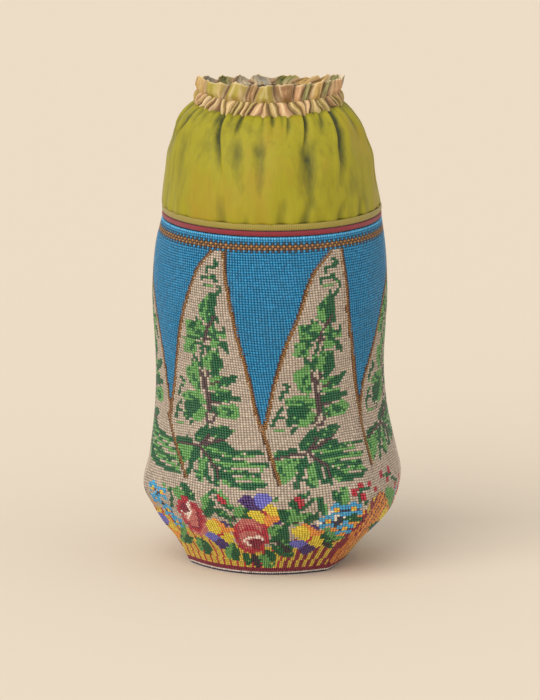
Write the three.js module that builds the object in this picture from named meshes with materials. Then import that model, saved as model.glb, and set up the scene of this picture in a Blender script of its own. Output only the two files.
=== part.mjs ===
// Beaded drawstring bag: a knitted bead body that swells to soft corners above a flat base, a gathered
// silk top with a turned hem and a crimson binding, a ruched drawstring casing and a ruffled heading.
// Millimetres, +Z up, front towards -Y, origin at the middle of the base's underside.
import * as THREE from "three";
import { mergeVertices } from "three/addons/utils/BufferGeometryUtils.js";

// Driving dimensions
const SEAM_GAP = 0.3; // between pieces that are sewn together
const BEAD_WALL = 2.2; // knitted ground with its beads
const SILK_WALL = 1.0;
const CASING_WALL = 1.6; // two layers of silk
const BAND_WALL = 2.0; // folded hem and binding
const BASE_THICKNESS = 2.0;
const BODY_TOP = 193;
const BINDING_HEIGHT = 3.0;
const HEM_HEIGHT = 3.6;
const CASING_HEIGHT = 7.3;
const NECK = 256; // height at which the silk is drawn in under the casing
const RUFFLE_HEIGHT = 9;
const RUFFLE_BACK_DROP = 4.5; // the heading droops behind
const MOUTH_DROOP = 2; // the gathered mouth sinks at the front and the back
const BINDING_BOTTOM = BODY_TOP + SEAM_GAP;
const HEM_BOTTOM = BINDING_BOTTOM + BINDING_HEIGHT + SEAM_GAP;
const SILK_BOTTOM = HEM_BOTTOM + HEM_HEIGHT + SEAM_GAP;
const CASING_BOTTOM = NECK + SEAM_GAP;
const RUFFLE_BOTTOM = CASING_BOTTOM + CASING_HEIGHT + SEAM_GAP;

// Gathers
const NECK_GATHERS = 27;
const NECK_GATHER_DEPTH = 1.0;
const NECK_GATHER_REACH = 8; // how far below the neck they fade
const CASING_GATHERS = 36;
const CASING_GATHER_DEPTH = 0.7;
const RUFFLE_LIFT = 0.9; // how far the ruffle's edge rises on a lobe

// Facets round each piece
const BODY_FACETS = 72;
const SILK_FACETS = NECK_GATHERS * 4;
const CASING_FACETS = CASING_GATHERS * 4;
const RUFFLE_FACETS = 120;

// Sides of the body's base, in degrees from the front towards +X. flat is 1 for a straight side and 0 for a
// round one. The broad front side bows out.
const BASE_SIDES = [
  { from: -75, to: 45, flat: 0.32 },
  { from: 45, to: 105, flat: 1 },
  { from: 105, to: 165, flat: 1 },
  { from: 165, to: 225, flat: 1 },
  { from: 225, to: 285, flat: 1 },
];

// Lobes of the ruffle: the angles where each starts and ends in degrees, and how far it swells.
const RUFFLE_LOBES = [
  { from: -87, to: -66, swell: 2.6 },
  { from: -66, to: -39, swell: 3.0 },
  { from: -39, to: -18, swell: 3.4 },
  { from: -18, to: -9, swell: 1.4 },
  { from: -9, to: 6, swell: 3.2 },
  { from: 6, to: 24, swell: 3.2 },
  { from: 24, to: 30, swell: 2.0 },
  { from: 30, to: 39, swell: 1.4 },
  { from: 39, to: 54, swell: 2.8 },
  { from: 54, to: 63, swell: 1.4 },
  { from: 63, to: 87, swell: 3.0 },
  { from: 87, to: 108, swell: 2.6 },
  { from: 108, to: 126, swell: 2.8 },
  { from: 126, to: 141, swell: 2.2 },
  { from: 141, to: 159, swell: 3.0 },
  { from: 159, to: 177, swell: 2.8 },
  { from: 177, to: 195, swell: 3.0 },
  { from: 195, to: 210, swell: 2.4 },
  { from: 210, to: 228, swell: 2.8 },
  { from: 228, to: 249, swell: 2.8 },
  { from: 249, to: 273, swell: 3.0 },
];

// Sections through the middle of the beaded wall. shift moves a section sideways, as the filled bag leans.
// corner is 0 where the bag is round and 1 for sharp corners.
const BODY_SECTIONS = [
  { height: 0, halfWidth: 43.6, halfDepth: 43.6, shift: -0.6, corner: 0.6 },
  { height: 13, halfWidth: 52.6, halfDepth: 52.4, shift: 1.6, corner: 0.6 },
  { height: 25, halfWidth: 63.4, halfDepth: 62.4, shift: 3.2, corner: 0.58 },
  { height: 32, halfWidth: 67.8, halfDepth: 66.4, shift: 3.2, corner: 0.55 },
  { height: 46, halfWidth: 72.4, halfDepth: 70.6, shift: 1.4, corner: 0.45 },
  { height: 60, halfWidth: 69.0, halfDepth: 66.9, shift: 1.7, corner: 0.28 },
  { height: 86, halfWidth: 63.6, halfDepth: 61.7, shift: 0.6, corner: 0.1 },
  { height: 112, halfWidth: 61.7, halfDepth: 59.8, shift: -0.1, corner: 0 },
  { height: 150, halfWidth: 63.5, halfDepth: 61.2, shift: -0.1, corner: 0 },
  { height: 176, halfWidth: 62.1, halfDepth: 58.7, shift: 0.2, corner: 0 },
  { height: BODY_TOP, halfWidth: 59.2, halfDepth: 55.1, shift: 1.0, corner: 0 },
];
const BODY_ROW_HEIGHTS = [2.3, 14, 25, 33, 46, 59, 82, 112, 146, 172, BODY_TOP];

// Sections through the middle of the silk, from its hem to the neck. fold is how deep the folds lie there.
const SILK_SECTIONS = [
  { height: 200, halfWidth: 59.5, halfDepth: 55.4, shift: 0.7, fold: 0.15 },
  { height: 210, halfWidth: 58.3, halfDepth: 54.4, shift: 0.4, fold: 0.6 },
  { height: 220, halfWidth: 56.7, halfDepth: 52.4, shift: 0.1, fold: 0.85 },
  { height: 229, halfWidth: 55.5, halfDepth: 50.0, shift: -0.1, fold: 1 },
  { height: 238, halfWidth: 52.2, halfDepth: 46.0, shift: -0.5, fold: 1 },
  { height: 245, halfWidth: 50.1, halfDepth: 41.5, shift: -0.8, fold: 1 },
  { height: 251, halfWidth: 46.3, halfDepth: 36.5, shift: -1.0, fold: 0.8 },
  { height: NECK, halfWidth: 41.0, halfDepth: 31.5, shift: -0.8, fold: 0.5 },
];

// Sections through the middle of the casing and of the ruffle above it, by height above the neck.
const NECK_SECTIONS = [
  { height: 0, halfWidth: 40.0, halfDepth: 30.5, shift: -0.8 },
  { height: 4, halfWidth: 39.2, halfDepth: 28.8, shift: -0.7 },
  { height: 8, halfWidth: 38.8, halfDepth: 27.0, shift: -0.6 },
  { height: 11, halfWidth: 38.2, halfDepth: 25.5, shift: -0.5 },
  { height: 18, halfWidth: 37.8, halfDepth: 22.5, shift: 1.0 },
];

// Main folds of the silk's front, hanging from the neck. The back has the same folds.
// angle and width are in degrees from the front, depth in millimetres, reach is how far down the fold runs.
const SILK_FOLDS = [
  { angle: -54, width: 7, depth: 2.6, reach: 34 },
  { angle: -27, width: 5, depth: 2.8, reach: 40 },
  { angle: -17, width: 5, depth: 1.6, reach: 30 },
  { angle: -5, width: 7, depth: 2.0, reach: 44 },
  { angle: 9, width: 4, depth: 1.2, reach: 14 },
  { angle: 20, width: 6, depth: 2.6, reach: 42 },
  { angle: 41, width: 5, depth: 2.8, reach: 38 },
  { angle: 58, width: 6, depth: 2.0, reach: 26 },
  { angle: 74, width: 7, depth: 2.4, reach: 48 },
];

// One column of a section table at a height, on a smooth curve through the rows.
function sectionValue(sections, key, height) {
  const last = sections.length - 1;
  let row = sections.findIndex((section) => section.height > height) - 1;
  if (row < 0) row = height < sections[0].height ? 0 : last - 1;
  const slope = (i) => {
    const below = sections[Math.max(i - 1, 0)];
    const above = sections[Math.min(i + 1, last)];
    return (above[key] - below[key]) / (above.height - below.height);
  };
  const span = sections[row + 1].height - sections[row].height;
  const t = THREE.MathUtils.clamp((height - sections[row].height) / span, 0, 1);
  const start = sections[row][key] * (1 + 2 * t) * (1 - t) ** 2;
  const end = sections[row + 1][key] * t * t * (3 - 2 * t);
  const startSlope = slope(row) * span * t * (1 - t) ** 2;
  const endSlope = slope(row + 1) * span * t * t * (t - 1);
  return start + end + startSlope + endSlope;
}

// A point on an oval section. angle runs from the front towards +X, and out moves the point off the oval.
function ovalPoint(sections, angle, height, out = 0) {
  const halfWidth = sectionValue(sections, "halfWidth", height);
  const halfDepth = sectionValue(sections, "halfDepth", height);
  const across = (halfWidth + out) * Math.sin(angle) + sectionValue(sections, "shift", height);
  return new THREE.Vector3(across, -(halfDepth + out) * Math.cos(angle), height);
}

// The row of a table of angles that an angle lies in, and how far across it.
function rowAt(rows, angle) {
  const turned = THREE.MathUtils.euclideanModulo(THREE.MathUtils.radToDeg(angle) - rows[0].from, 360);
  const degrees = turned + rows[0].from;
  const row = rows.find(({ to }) => degrees < to);
  return { row, across: (degrees - row.from) / (row.to - row.from) };
}

// How far a side of the base lies inside its corners, as a share of the radius: 0 at a corner.
function sideSetback(angle) {
  const { row, across } = rowAt(BASE_SIDES, angle);
  const half = THREE.MathUtils.degToRad(row.to - row.from) / 2;
  return row.flat * (1 - Math.cos(half) / Math.cos((2 * across - 1) * half));
}

function mouthDroop(angle) {
  return MOUTH_DROOP * Math.cos(angle) ** 2;
}

function bodySurface(angle, height) {
  const corner = sectionValue(BODY_SECTIONS, "corner", height);
  const radius = sectionValue(BODY_SECTIONS, "halfWidth", height);
  return ovalPoint(BODY_SECTIONS, angle, height, -corner * radius * sideSetback(angle));
}

// Depth of the silk's main folds at an angle and height.
function foldDepth(angle, height) {
  const front = Math.cos(angle) > 0;
  const turned = Math.atan2(Math.sin(angle), Math.abs(Math.cos(angle))) * (front ? 1 : -1);
  const degrees = THREE.MathUtils.radToDeg(turned);
  let depth = 0;
  for (const fold of SILK_FOLDS) {
    const across = (degrees - fold.angle) / fold.width;
    const down = (NECK - height) / fold.reach;
    depth += fold.depth * Math.exp(-across * across) * Math.exp(-down * down);
  }
  return depth * sectionValue(SILK_SECTIONS, "fold", height);
}

function silkSurface(angle, height) {
  const gatherFade = Math.exp((height - NECK) / NECK_GATHER_REACH);
  const gather = NECK_GATHER_DEPTH * gatherFade * Math.cos(NECK_GATHERS * angle);
  const point = ovalPoint(SILK_SECTIONS, angle, height, gather - foldDepth(angle, height));
  const share = (height - SILK_BOTTOM) / (NECK - SILK_BOTTOM);
  return point.setZ(height - mouthDroop(angle) * share ** 2);
}

// The two bands sewn between the beads and the silk stand straight up.
function bandSurface(angle, height) {
  const point = bodySurface(angle, BODY_TOP);
  return point.setZ(height);
}

function casingSurface(angle, height) {
  const aboveNeck = height - NECK;
  const gather = CASING_GATHER_DEPTH * Math.cos(CASING_GATHERS * angle);
  const puff = Math.sin((Math.PI * (aboveNeck - SEAM_GAP)) / CASING_HEIGHT);
  const point = ovalPoint(NECK_SECTIONS, angle, aboveNeck, gather * (0.5 + 0.5 * puff));
  return point.setZ(height - mouthDroop(angle));
}

// The heading's lobes swell above the casing, with sharp creases between them, and it droops behind.
function ruffleSurface(angle, height) {
  const share = (height - RUFFLE_BOTTOM) / RUFFLE_HEIGHT;
  const { row, across } = rowAt(RUFFLE_LOBES, angle);
  const dome = Math.sin(Math.PI * across) ** 0.6;
  const open = Math.sin(Math.min(0.25 + 1.9 * share, Math.PI / 2));
  const point = ovalPoint(NECK_SECTIONS, angle, height - NECK, row.swell * (dome - 0.45) * open);
  const behind = (RUFFLE_BACK_DROP * (1 - Math.cos(angle))) / 2;
  const lift = RUFFLE_LIFT * (dome - 0.6) - behind;
  return point.setZ(height - mouthDroop(angle) + share * lift);
}

// Even row heights from the bottom to the top of a piece.
function evenRows(bottom, height, count) {
  return Array.from({ length: count + 1 }, (_, row) => bottom + (height * row) / count);
}

// Offset square to a surface's section, outwards where distance is positive.
function squareOff(surface, angle, height, distance) {
  const step = 1e-3;
  const along = surface(angle + step, height).sub(surface(angle - step, height)).setZ(0).normalize();
  const outwards = new THREE.Vector3(along.y, -along.x, 0);
  return surface(angle, height).addScaledVector(outwards, distance);
}

// A closed wall of cloth: a ring turned on a lathe, outer skin up and inner skin down, laid on a surface.
function wall(name, material, { surface, thickness, heights, facets }) {
  const outer = heights.map((height) => ({ height, offset: thickness / 2 }));
  const inner = heights.map((height) => ({ height, offset: -thickness / 2 })).reverse();
  const rows = [...outer, ...inner, outer[0]];
  const profile = rows.map(({ height, offset }) => new THREE.Vector2(BODY_TOP + offset, height));
  const ring = new THREE.LatheGeometry(profile, facets);
  const places = ring.getAttribute("position");
  for (let vertex = 0; vertex < places.count; vertex++) {
    const angle = (2 * Math.PI * (Math.floor(vertex / rows.length) % facets)) / facets;
    const { height, offset } = rows[vertex % rows.length];
    places.setXYZ(vertex, ...squareOff(surface, angle, height, offset));
  }
  return piece(name, material, ring);
}

// A flat base with the body's outline, tapering as the body does.
function base(name, material) {
  const rim = [
    { height: 0, share: 0 },
    { height: 0, share: 1 },
    { height: BASE_THICKNESS, share: 1 },
    { height: BASE_THICKNESS, share: 0 },
  ];
  const disc = new THREE.LatheGeometry(
    rim.map(({ height, share }) => new THREE.Vector2(share, height)),
    BODY_FACETS,
  );
  const places = disc.getAttribute("position");
  for (let vertex = 0; vertex < places.count; vertex++) {
    const angle = (2 * Math.PI * (Math.floor(vertex / rim.length) % BODY_FACETS)) / BODY_FACETS;
    const { height, share } = rim[vertex % rim.length];
    const edge = squareOff(bodySurface, angle, height, BEAD_WALL / 2);
    const centre = sectionValue(BODY_SECTIONS, "shift", height);
    places.setXYZ(vertex, centre + (edge.x - centre) * share, edge.y * share, height);
  }
  return piece(name, material, disc);
}

// A named mesh with its shared vertices merged.
function piece(name, material, geometry) {
  geometry.deleteAttribute("normal");
  geometry.deleteAttribute("uv");
  const merged = mergeVertices(geometry, 1e-3);
  merged.computeVertexNormals();
  const mesh = new THREE.Mesh(merged, material);
  mesh.name = name;
  return mesh;
}

function cloth(color, roughness) {
  return new THREE.MeshStandardMaterial({ color, roughness, metalness: 0 });
}

const beadwork = cloth(0x2f86b5, 0.35);
const baseBeads = cloth(0x8c2a3a, 0.4);
const chartreuseSilk = cloth(0xa9a232, 0.5);
const hemSilk = cloth(0xb3a23c, 0.5);
const crimson = cloth(0x9c2c3b, 0.6);
const fadedSilk = cloth(0xc9b183, 0.55);

const bag = new THREE.Group();
bag.add(
  base("beaded_base", baseBeads),
  wall("beaded_body", beadwork, {
    surface: bodySurface,
    thickness: BEAD_WALL,
    heights: BODY_ROW_HEIGHTS,
    facets: BODY_FACETS,
  }),
  wall("crimson_binding", crimson, {
    surface: bandSurface,
    thickness: BAND_WALL,
    heights: evenRows(BINDING_BOTTOM, BINDING_HEIGHT, 1),
    facets: BODY_FACETS,
  }),
  wall("silk_hem", hemSilk, {
    surface: bandSurface,
    thickness: BAND_WALL,
    heights: evenRows(HEM_BOTTOM, HEM_HEIGHT, 1),
    facets: BODY_FACETS,
  }),
  wall("silk_top", chartreuseSilk, {
    surface: silkSurface,
    thickness: SILK_WALL,
    heights: evenRows(SILK_BOTTOM, NECK - SILK_BOTTOM, 7),
    facets: SILK_FACETS,
  }),
  wall("drawstring_casing", fadedSilk, {
    surface: casingSurface,
    thickness: CASING_WALL,
    heights: evenRows(CASING_BOTTOM, CASING_HEIGHT, 2),
    facets: CASING_FACETS,
  }),
  wall("ruffle", fadedSilk, {
    surface: ruffleSurface,
    thickness: SILK_WALL,
    heights: evenRows(RUFFLE_BOTTOM, RUFFLE_HEIGHT, 3),
    facets: RUFFLE_FACETS,
  }),
);

// The corners stand unevenly to left and right, so the bag is centred on its own outline.
const outline = new THREE.Box3().setFromObject(bag);
const middle = outline.getCenter(new THREE.Vector3());
for (const mesh of bag.children) mesh.position.set(-middle.x, -middle.y, 0);

export default bag;
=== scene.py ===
"""Beaded drawstring bag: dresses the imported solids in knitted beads, silk, binding, casing and ruffle.

Metres, +Z up, front towards -Y. Sizes in the tables are millimetres, angles run from the front towards +X.
"""

import math

import bmesh
import bpy
import numpy as np
from bpy.props import FloatProperty, FloatVectorProperty, IntProperty, PointerProperty
from mathutils import Matrix, Vector


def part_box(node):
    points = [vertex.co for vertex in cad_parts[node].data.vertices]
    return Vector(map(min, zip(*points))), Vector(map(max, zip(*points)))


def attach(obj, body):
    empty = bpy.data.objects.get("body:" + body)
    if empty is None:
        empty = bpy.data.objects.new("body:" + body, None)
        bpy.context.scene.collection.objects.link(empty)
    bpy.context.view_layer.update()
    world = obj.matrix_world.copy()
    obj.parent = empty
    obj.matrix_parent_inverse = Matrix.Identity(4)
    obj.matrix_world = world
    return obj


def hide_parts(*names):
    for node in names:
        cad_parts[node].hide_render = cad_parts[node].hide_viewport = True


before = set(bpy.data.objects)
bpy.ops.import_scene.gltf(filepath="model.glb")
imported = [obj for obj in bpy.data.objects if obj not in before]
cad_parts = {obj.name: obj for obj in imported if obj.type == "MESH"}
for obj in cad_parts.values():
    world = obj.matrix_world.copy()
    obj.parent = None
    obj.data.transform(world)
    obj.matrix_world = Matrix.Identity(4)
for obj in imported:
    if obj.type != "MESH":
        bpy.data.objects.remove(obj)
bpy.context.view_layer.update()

bl_info = {
    "name": "Beaded Drawstring Bag",
    "version": (1, 0, 0),
    "blender": (4, 5, 0),
    "location": "3D View > Sidebar > Beaded Bag",
    "description": "Knitted beads, gathered silk and a ruffled mouth on the solids of a drawstring bag",
    "category": "Object",
}

MM = 0.001
TURN = 2 * math.pi


def named_rows(fields, rows):
    """The rows of a table, with a name for each column."""
    return tuple(dict(zip(fields, row)) for row in rows)


# Heights of the seams between the pieces
BODY_BOTTOM = 2.3
BODY_TOP = 193.0
BINDING_BOTTOM = 193.3
BINDING_TOP = 196.3
HEM_BOTTOM = 196.6
HEM_TOP = 200.2
SILK_BOTTOM = 200.5
NECK = 256.0
CASING_BOTTOM = 256.3
CASING_TOP = 263.6
RUFFLE_BOTTOM = 263.9
RUFFLE_HEIGHT = 9.0
# How far the ruffle sinks and leans out at the back, and the gathered mouth sinks at the front and the back
RUFFLE_BACK_DROP = 6.0
RUFFLE_BACK_FLARE = 5.0
MOUTH_DROOP = 2.0
# Half the thickness of the beaded wall
HALF_WALL = 1.1

# Sides of the body's base in degrees. flat is 1 for a straight side and 0 for a round one.
BASE_SIDES = named_rows(("from", "to", "flat"), (
    (-75, 45, 0.32),
    (45, 105, 1.0),
    (105, 165, 1.0),
    (165, 225, 1.0),
    (225, 285, 1.0),
))

# Sections through the middle of the beaded wall. shift moves a section sideways, as the filled bag leans.
# corner is 0 where the bag is round and 1 for sharp corners.
BODY_SECTIONS = {
    "height": (0, 13, 25, 32, 46, 60, 86, 112, 150, 176, 193),
    "half_width": (43.6, 52.6, 63.4, 67.8, 72.4, 69.0, 63.6, 61.7, 63.5, 62.1, 59.2),
    "half_depth": (43.6, 52.4, 62.4, 66.4, 70.6, 66.9, 61.7, 59.8, 61.2, 58.7, 55.1),
    "shift": (-0.6, 1.6, 3.2, 3.2, 1.4, 1.7, 0.6, -0.1, -0.1, 0.2, 1.0),
    "corner": (0.6, 0.6, 0.58, 0.55, 0.45, 0.28, 0.1, 0, 0, 0, 0),
}

# Sections through the middle of the silk, from its hem to the neck. fold is how deep the folds lie there.
SILK_SECTIONS = {
    "height": (200, 210, 220, 229, 238, 245, 251, 256),
    "half_width": (59.5, 58.3, 56.7, 55.5, 52.2, 50.1, 46.3, 41.0),
    "half_depth": (55.4, 54.4, 52.4, 50.0, 46.0, 41.5, 36.5, 31.5),
    "shift": (0.7, 0.4, 0.1, -0.1, -0.5, -0.8, -1.0, -0.8),
    "fold": (0.15, 0.6, 0.85, 1, 1, 1, 0.8, 0.5),
}

# Sections through the middle of the casing and the ruffle, by height above the neck
NECK_SECTIONS = {
    "height": (0, 4, 8, 11, 18),
    "half_width": (40.0, 39.2, 38.8, 38.2, 37.8),
    "half_depth": (30.5, 28.8, 27.0, 25.5, 22.5),
    "shift": (-0.8, -0.7, -0.6, -0.5, 1.0),
}

# Folds of the silk's front: the angle of each in degrees where it is deepest and where it ends, the
# heights of those two places, its width in degrees, its depth, how much painted shade it gets, and
# which of its sides is sharp: -1 for the left, 1 for the right. The back has the same folds.
FOLD_FIELDS = ("angles", "heights", "width", "depth", "shade", "sharp")
SILK_FOLDS = named_rows(FOLD_FIELDS, (
    ((-86, -80), (250, 224), 5.0, 1.5, 0.5, 0),
    ((-67, -80), (249, 235), 3.0, 1.5, 0.6, 1),
    ((-39, -38), (256, 243), 3.4, 1.7, 0.6, 1),
    ((-35, -27), (255, 220), 3.6, 2.7, 0.9, 1),
    ((-21, -22), (256, 245), 2.4, 1.7, 0.7, -1),
    ((-18, -18), (238, 209), 4.4, 1.2, 0.46, 0),
    ((-6, -5), (238, 210), 5.5, 1.7, 0.58, 0),
    ((3, 4), (256, 247), 2.4, 1.0, 0.4, 0),
    ((15, 11), (256, 244), 2.6, 1.4, 0.6, -1),
    ((28, 21), (256, 238), 2.6, 2.4, 0.8, -1),
    ((23, 22), (234, 206), 5.5, 1.7, 0.66, 0),
    ((43, 36), (256, 246), 2.4, 1.5, 0.6, 0),
    ((53, 40), (255, 214), 5.5, 2.9, 1.1, -1),
    ((74, 72), (256, 234), 4.0, 1.7, 0.5, 0),
    ((88, 79), (244, 202), 4.0, 1.9, 0.7, 1),
    ((-51, -52), (203, 212), 3.0, 0.7, 0.2, 0),
    ((-27, -26), (204, 219), 4.0, 0.7, 0.22, 0),
    ((7, 8), (205, 219), 4.0, 0.6, 0.2, 0),
    ((18, 24), (203, 216), 3.0, 0.9, 0.35, 0),
    ((39, 45), (203, 212), 2.6, 0.8, 0.3, 0),
    ((55, 58), (203, 212), 2.6, 0.8, 0.4, 0),
))

# How strongly the folds' painted shade darkens the silk, and how much narrower a fold is on its sharp side
FOLD_SHADE = 1.35
SHARP_SIDE = 0.4
# Above its deepest place a fold dies out over this height
FOLD_FADE = 8
# How steep a fold is, and the swell beside it: its place and width in widths of the fold, and its height
# and its painted light as shares of the fold's depth and painted shade
FOLD_STEEPNESS = 1.25
SWELL_PLACE = 1.9
SWELL_WIDTH = 0.9
SWELL_DEPTH = 0.3
SWELL_SHADE = 0.22
# How far the silk moves in and out in the pleats under the casing, in the puckers above the hem and in
# the slack between, and how far it is tucked in at the hem and at the neck
PLEAT = 1.3
PUCKER = 0.5
SLACK = 0.6
HEM_TUCK = 0.5
NECK_TUCK = 1.6
# How far the casing's gathers puff out and their fine folds stand, and how far the ruffle crinkles
CASING_PUFF = 2.2
CASING_FINE = 0.3
RUFFLE_CRINKLE = 0.45

# Lobes of the ruffle round the mouth: the angle where each ends in degrees, how far it swells, how tall it
# stands, where across it the swell is fullest, and its faded colour. The first starts where the last ends.
RUFFLE_LOBES = named_rows(("to", "swell", "tall", "peak", "tone"), (
    (-66, 4.2, 0.9, 0.5, "tan"),
    (-39, 4.4, -0.2, 0.4, "olive"),
    (-18.5, 5.2, 0.2, 0.55, "olive"),
    (-12, 2.2, 0.2, 0.7, "brown"),
    (4, 4.8, 0.1, 0.45, "olive"),
    (20.5, 5.2, 0.1, 0.6, "brown"),
    (28.5, 2.8, 0.0, 0.4, "salmon"),
    (35, 1.4, 0.2, 0.5, "green"),
    (49, 4.4, 0.6, 0.5, "tan"),
    (58, 1.4, 0.2, 0.5, "green"),
    (87, 4.4, 0.8, 0.6, "salmon"),
    (108, 3.6, 0.4, 0.5, "grey"),
    (126, 3.8, 1.2, 0.4, "green"),
    (141, 3.4, 0.8, 0.6, "tan"),
    (159, 4.0, 0.0, 0.5, "tan"),
    (177, 3.8, 0.2, 0.4, "green"),
    (195, 4.0, 0.6, 0.6, "grey"),
    (210, 3.4, 0.0, 0.5, "grey"),
    (228, 3.8, -0.1, 0.4, "green"),
    (249, 3.8, 0.2, 0.6, "grey"),
    (273, 4.2, 0.8, 0.5, "tan"),
))

# Faded colours of the casing and the ruffle in sRGB. crease is the painted shade in their creases and dark
# fold lines, and cream also paints their highlights
FADED = {
    "salmon": (196, 152, 110),
    "cream": (232, 208, 160),
    "tan": (182, 148, 84),
    "olive": (160, 146, 54),
    "brown": (138, 102, 64),
    "green": (104, 112, 60),
    "grey": (150, 146, 132),
    "crease": (84, 62, 42),
}
# Faded colours that the casing's gathers are drawn from, and how much of them is left beside salmon
CASING_TONES = ("salmon", "salmon", "cream", "tan", "tan", "olive", "olive", "brown")
CASING_TONE_SHARE = 0.75

# Bead tones in sRGB
TONES = {
    "blue": (0, 106, 148),
    "pale": (160, 146, 131),
    "tan": (106, 70, 32),
    "gilt": (138, 96, 42),
    "brown": (72, 46, 34),
    "black": (40, 34, 40),
    "leaf": (0, 76, 42),
    "new_leaf": (86, 138, 74),
    "stem": (66, 48, 50),
    "crimson": (156, 30, 48),
    "maroon": (116, 26, 48),
    "rose": (150, 54, 64),
    "pink": (176, 98, 92),
    "white": (228, 210, 194),
    "purple": (62, 38, 94),
    "violet": (94, 94, 172),
    "yellow": (204, 178, 52),
    "orange": (212, 132, 56),
    "sky": (58, 142, 186),
    "gold": (188, 158, 58),
    "amber": (184, 114, 50),
    "navy": (28, 48, 78),
}
TONE_NAMES = tuple(TONES)
# Letters of the tones in the flower charts
TONE_LETTERS = {
    "R": "crimson",
    "r": "rose",
    "k": "pink",
    "m": "maroon",
    "h": "white",
    "V": "purple",
    "v": "violet",
    "Y": "yellow",
    "O": "orange",
    "B": "sky",
    "N": "navy",
}
# How far a bead's tone strays from its colour, and the least and the most of it that is left
TONE_SPREAD = 0.1
TONE_LIMITS = (0.7, 1.3)
# How much brighter the knitting thread is painted than the beads on it: painted light that lifts the shade
# between the beads
THREAD_PAINTED_LIGHT = 1.3

# A bead is a cushion with a dome: the height of the ring round the dome as a share of the bulge, the
# ring's width as a share of the bead's corners, and how far the bead sinks as a share of the bulge
DOME_RING = 0.7
DOME_WIDTH = 0.5
BEAD_SINK = 0.25
# The painted highlight at a bead's peak: how much brighter the bead is there, and how far it fades to white
PEAK_LIGHT = 2.3
PEAK_SHINE = 0.05
# How far a bead reaches across and along the knitting, in beads, so that it meets its neighbours
BEAD_ACROSS = 0.54
BEAD_DOWN = 0.57
# How far the rounds and columns of the hand knitting wander, in beads
WANDER = 0.35
# How far a column of beads leans to the right from one round to the next, in beads
COLUMN_LEAN = 0.1
# How much wider than its beads the filled bag stretches a round of knitting
KNIT_STRETCH = 1.1
# Points along the wall's profile that the rounds of beads are measured on
PROFILE_POINTS = 4001
# A bead's cell in the OFBake map: how far its corners, its ring and its peak reach from the middle of
# the cell, and how far its underside does
BAKE_REACH = (0.46, 0.34, 0.0)
BAKE_UNDER = 0.1

# Bands above the panels: the rounds each starts and ends at
SKY_ROUND = (0, 1)
UPPER_TEETH = (2, 3)
ROPE = (3, 5)
LOWER_TEETH = (5, 6)
TOP_BAND_ROWS = 6

# Leaf panels: rows at which the edges are given, and the columns of the two edges from a panel's start
PANEL_ROWS = (5, 9, 13, 20, 30, 40, 50, 60, 69, 76)
PANEL_EDGES = {
    "upright": (
        (20.5, 18, 15, 12.5, 9, 6.5, 4.5, 2.5, 0.4, 0),
        (24.5, 25, 25.5, 27, 29, 31, 33.5, 35.5, 37, 39),
    ),
    "leaning": (
        (26.5, 22.5, 19, 16, 13, 9, 6.5, 4, 2, 0),
        (30, 30, 30.5, 31.5, 32, 34, 36, 37, 38, 38),
    ),
    "swept": (
        (34, 32, 29.5, 25.5, 16.5, 12, 8.3, 3.2, 0.5, 0),
        (38, 38, 38.5, 39, 39.5, 40.5, 41.5, 42.5, 43, 44),
    ),
    "shifted": (
        (18, 16, 13.5, 11, 8, 6, 4, 2, 0, 0),
        (21, 21.5, 22.5, 24.5, 31.5, 35.5, 38, 40.3, 43, 44),
    ),
}
PANEL_TIP_ROW = 6
PANEL_FOOT_ROW = PANEL_ROWS[-1]
# The panels round the bag: first column, how far the spray follows the panel's middle, how far its low
# blades spread and droop, the column they droop about, how far its low leaves slide, how far the whole
# spray is shifted and lifted, kind of edges, how far the line below the panel's foot leans and the row
# where it ends
PANEL_FIELDS = (
    "start", "follow", "spread", "droop", "pivot", "slide", "shift", "lift", "edges", "lean", "ends",
)
PANELS = named_rows(PANEL_FIELDS, (
    (-42, 1.0, 0.2, 0.2, 20, 0, 0, 0, "upright", 11.0, 97),
    (-3, 1.0, 0.0, 0.0, 20, 0, 0, 0, "leaning", 5.3, 97),
    (35, 0.4, 0.0, -0.2, 0, -4, 0, 4, "swept", 2.4, 93),
    (79, 1.0, 0.2, 0.0, 20, 0, 0, 0, "shifted", 4.0, 97),
    (122.5, 1.0, 0.2, 0.0, 20, 0, 0, 0, "shifted", 4.0, 97),
    (166.25, 1.0, 0.75, 0.5, 33, -4, 4, 0, "shifted", 4.0, 97),
))
# Row where the panels' part of the chart ends, how many rows above the foot the lines below the panels
# start, and rows from one point of a line to the next
SEAM_FOOT_ROW = 97
SEAM_RISE = 3
EDGE_DETAIL = 0.25
# Rows below the foot in which a spray's low part comes to move in full, and where its blades start
LOW_ROWS = 12
BLADE_COLUMN = 20
# Lines of small beads along the edges: how far from a line the beads of the ground make way, where its
# first bead lies and how far apart the others do, and their size, all in beads. Then how far they stand
# out in millimetres, and how far they wander in beads.
EDGE_REACH = 0.6
EDGE_START = 0.4
EDGE_STEP = 0.82
EDGE_BEAD = 0.68
EDGE_RISE = 0.1
EDGE_WANDER = 0.1
# How far each line lies inside the edge, and the tones that its beads take in turn
EDGE_LINES = ((-0.6, ("brown", "brown")), (0.0, ("gilt", "tan")), (0.55, ("tan", "gilt")))

# Width of the line round a filled outline of the patterns below, in beads
OUTLINE = 0.7
# Half the width and half the height of a berry or a dot, in beads
DOT_REACH = (1.1, 1.3)
# Share of the beads of a dark leaf and of a light one that have the other green
MOTTLE = {"leaf": 0.04, "new_leaf": 0.07}

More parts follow.
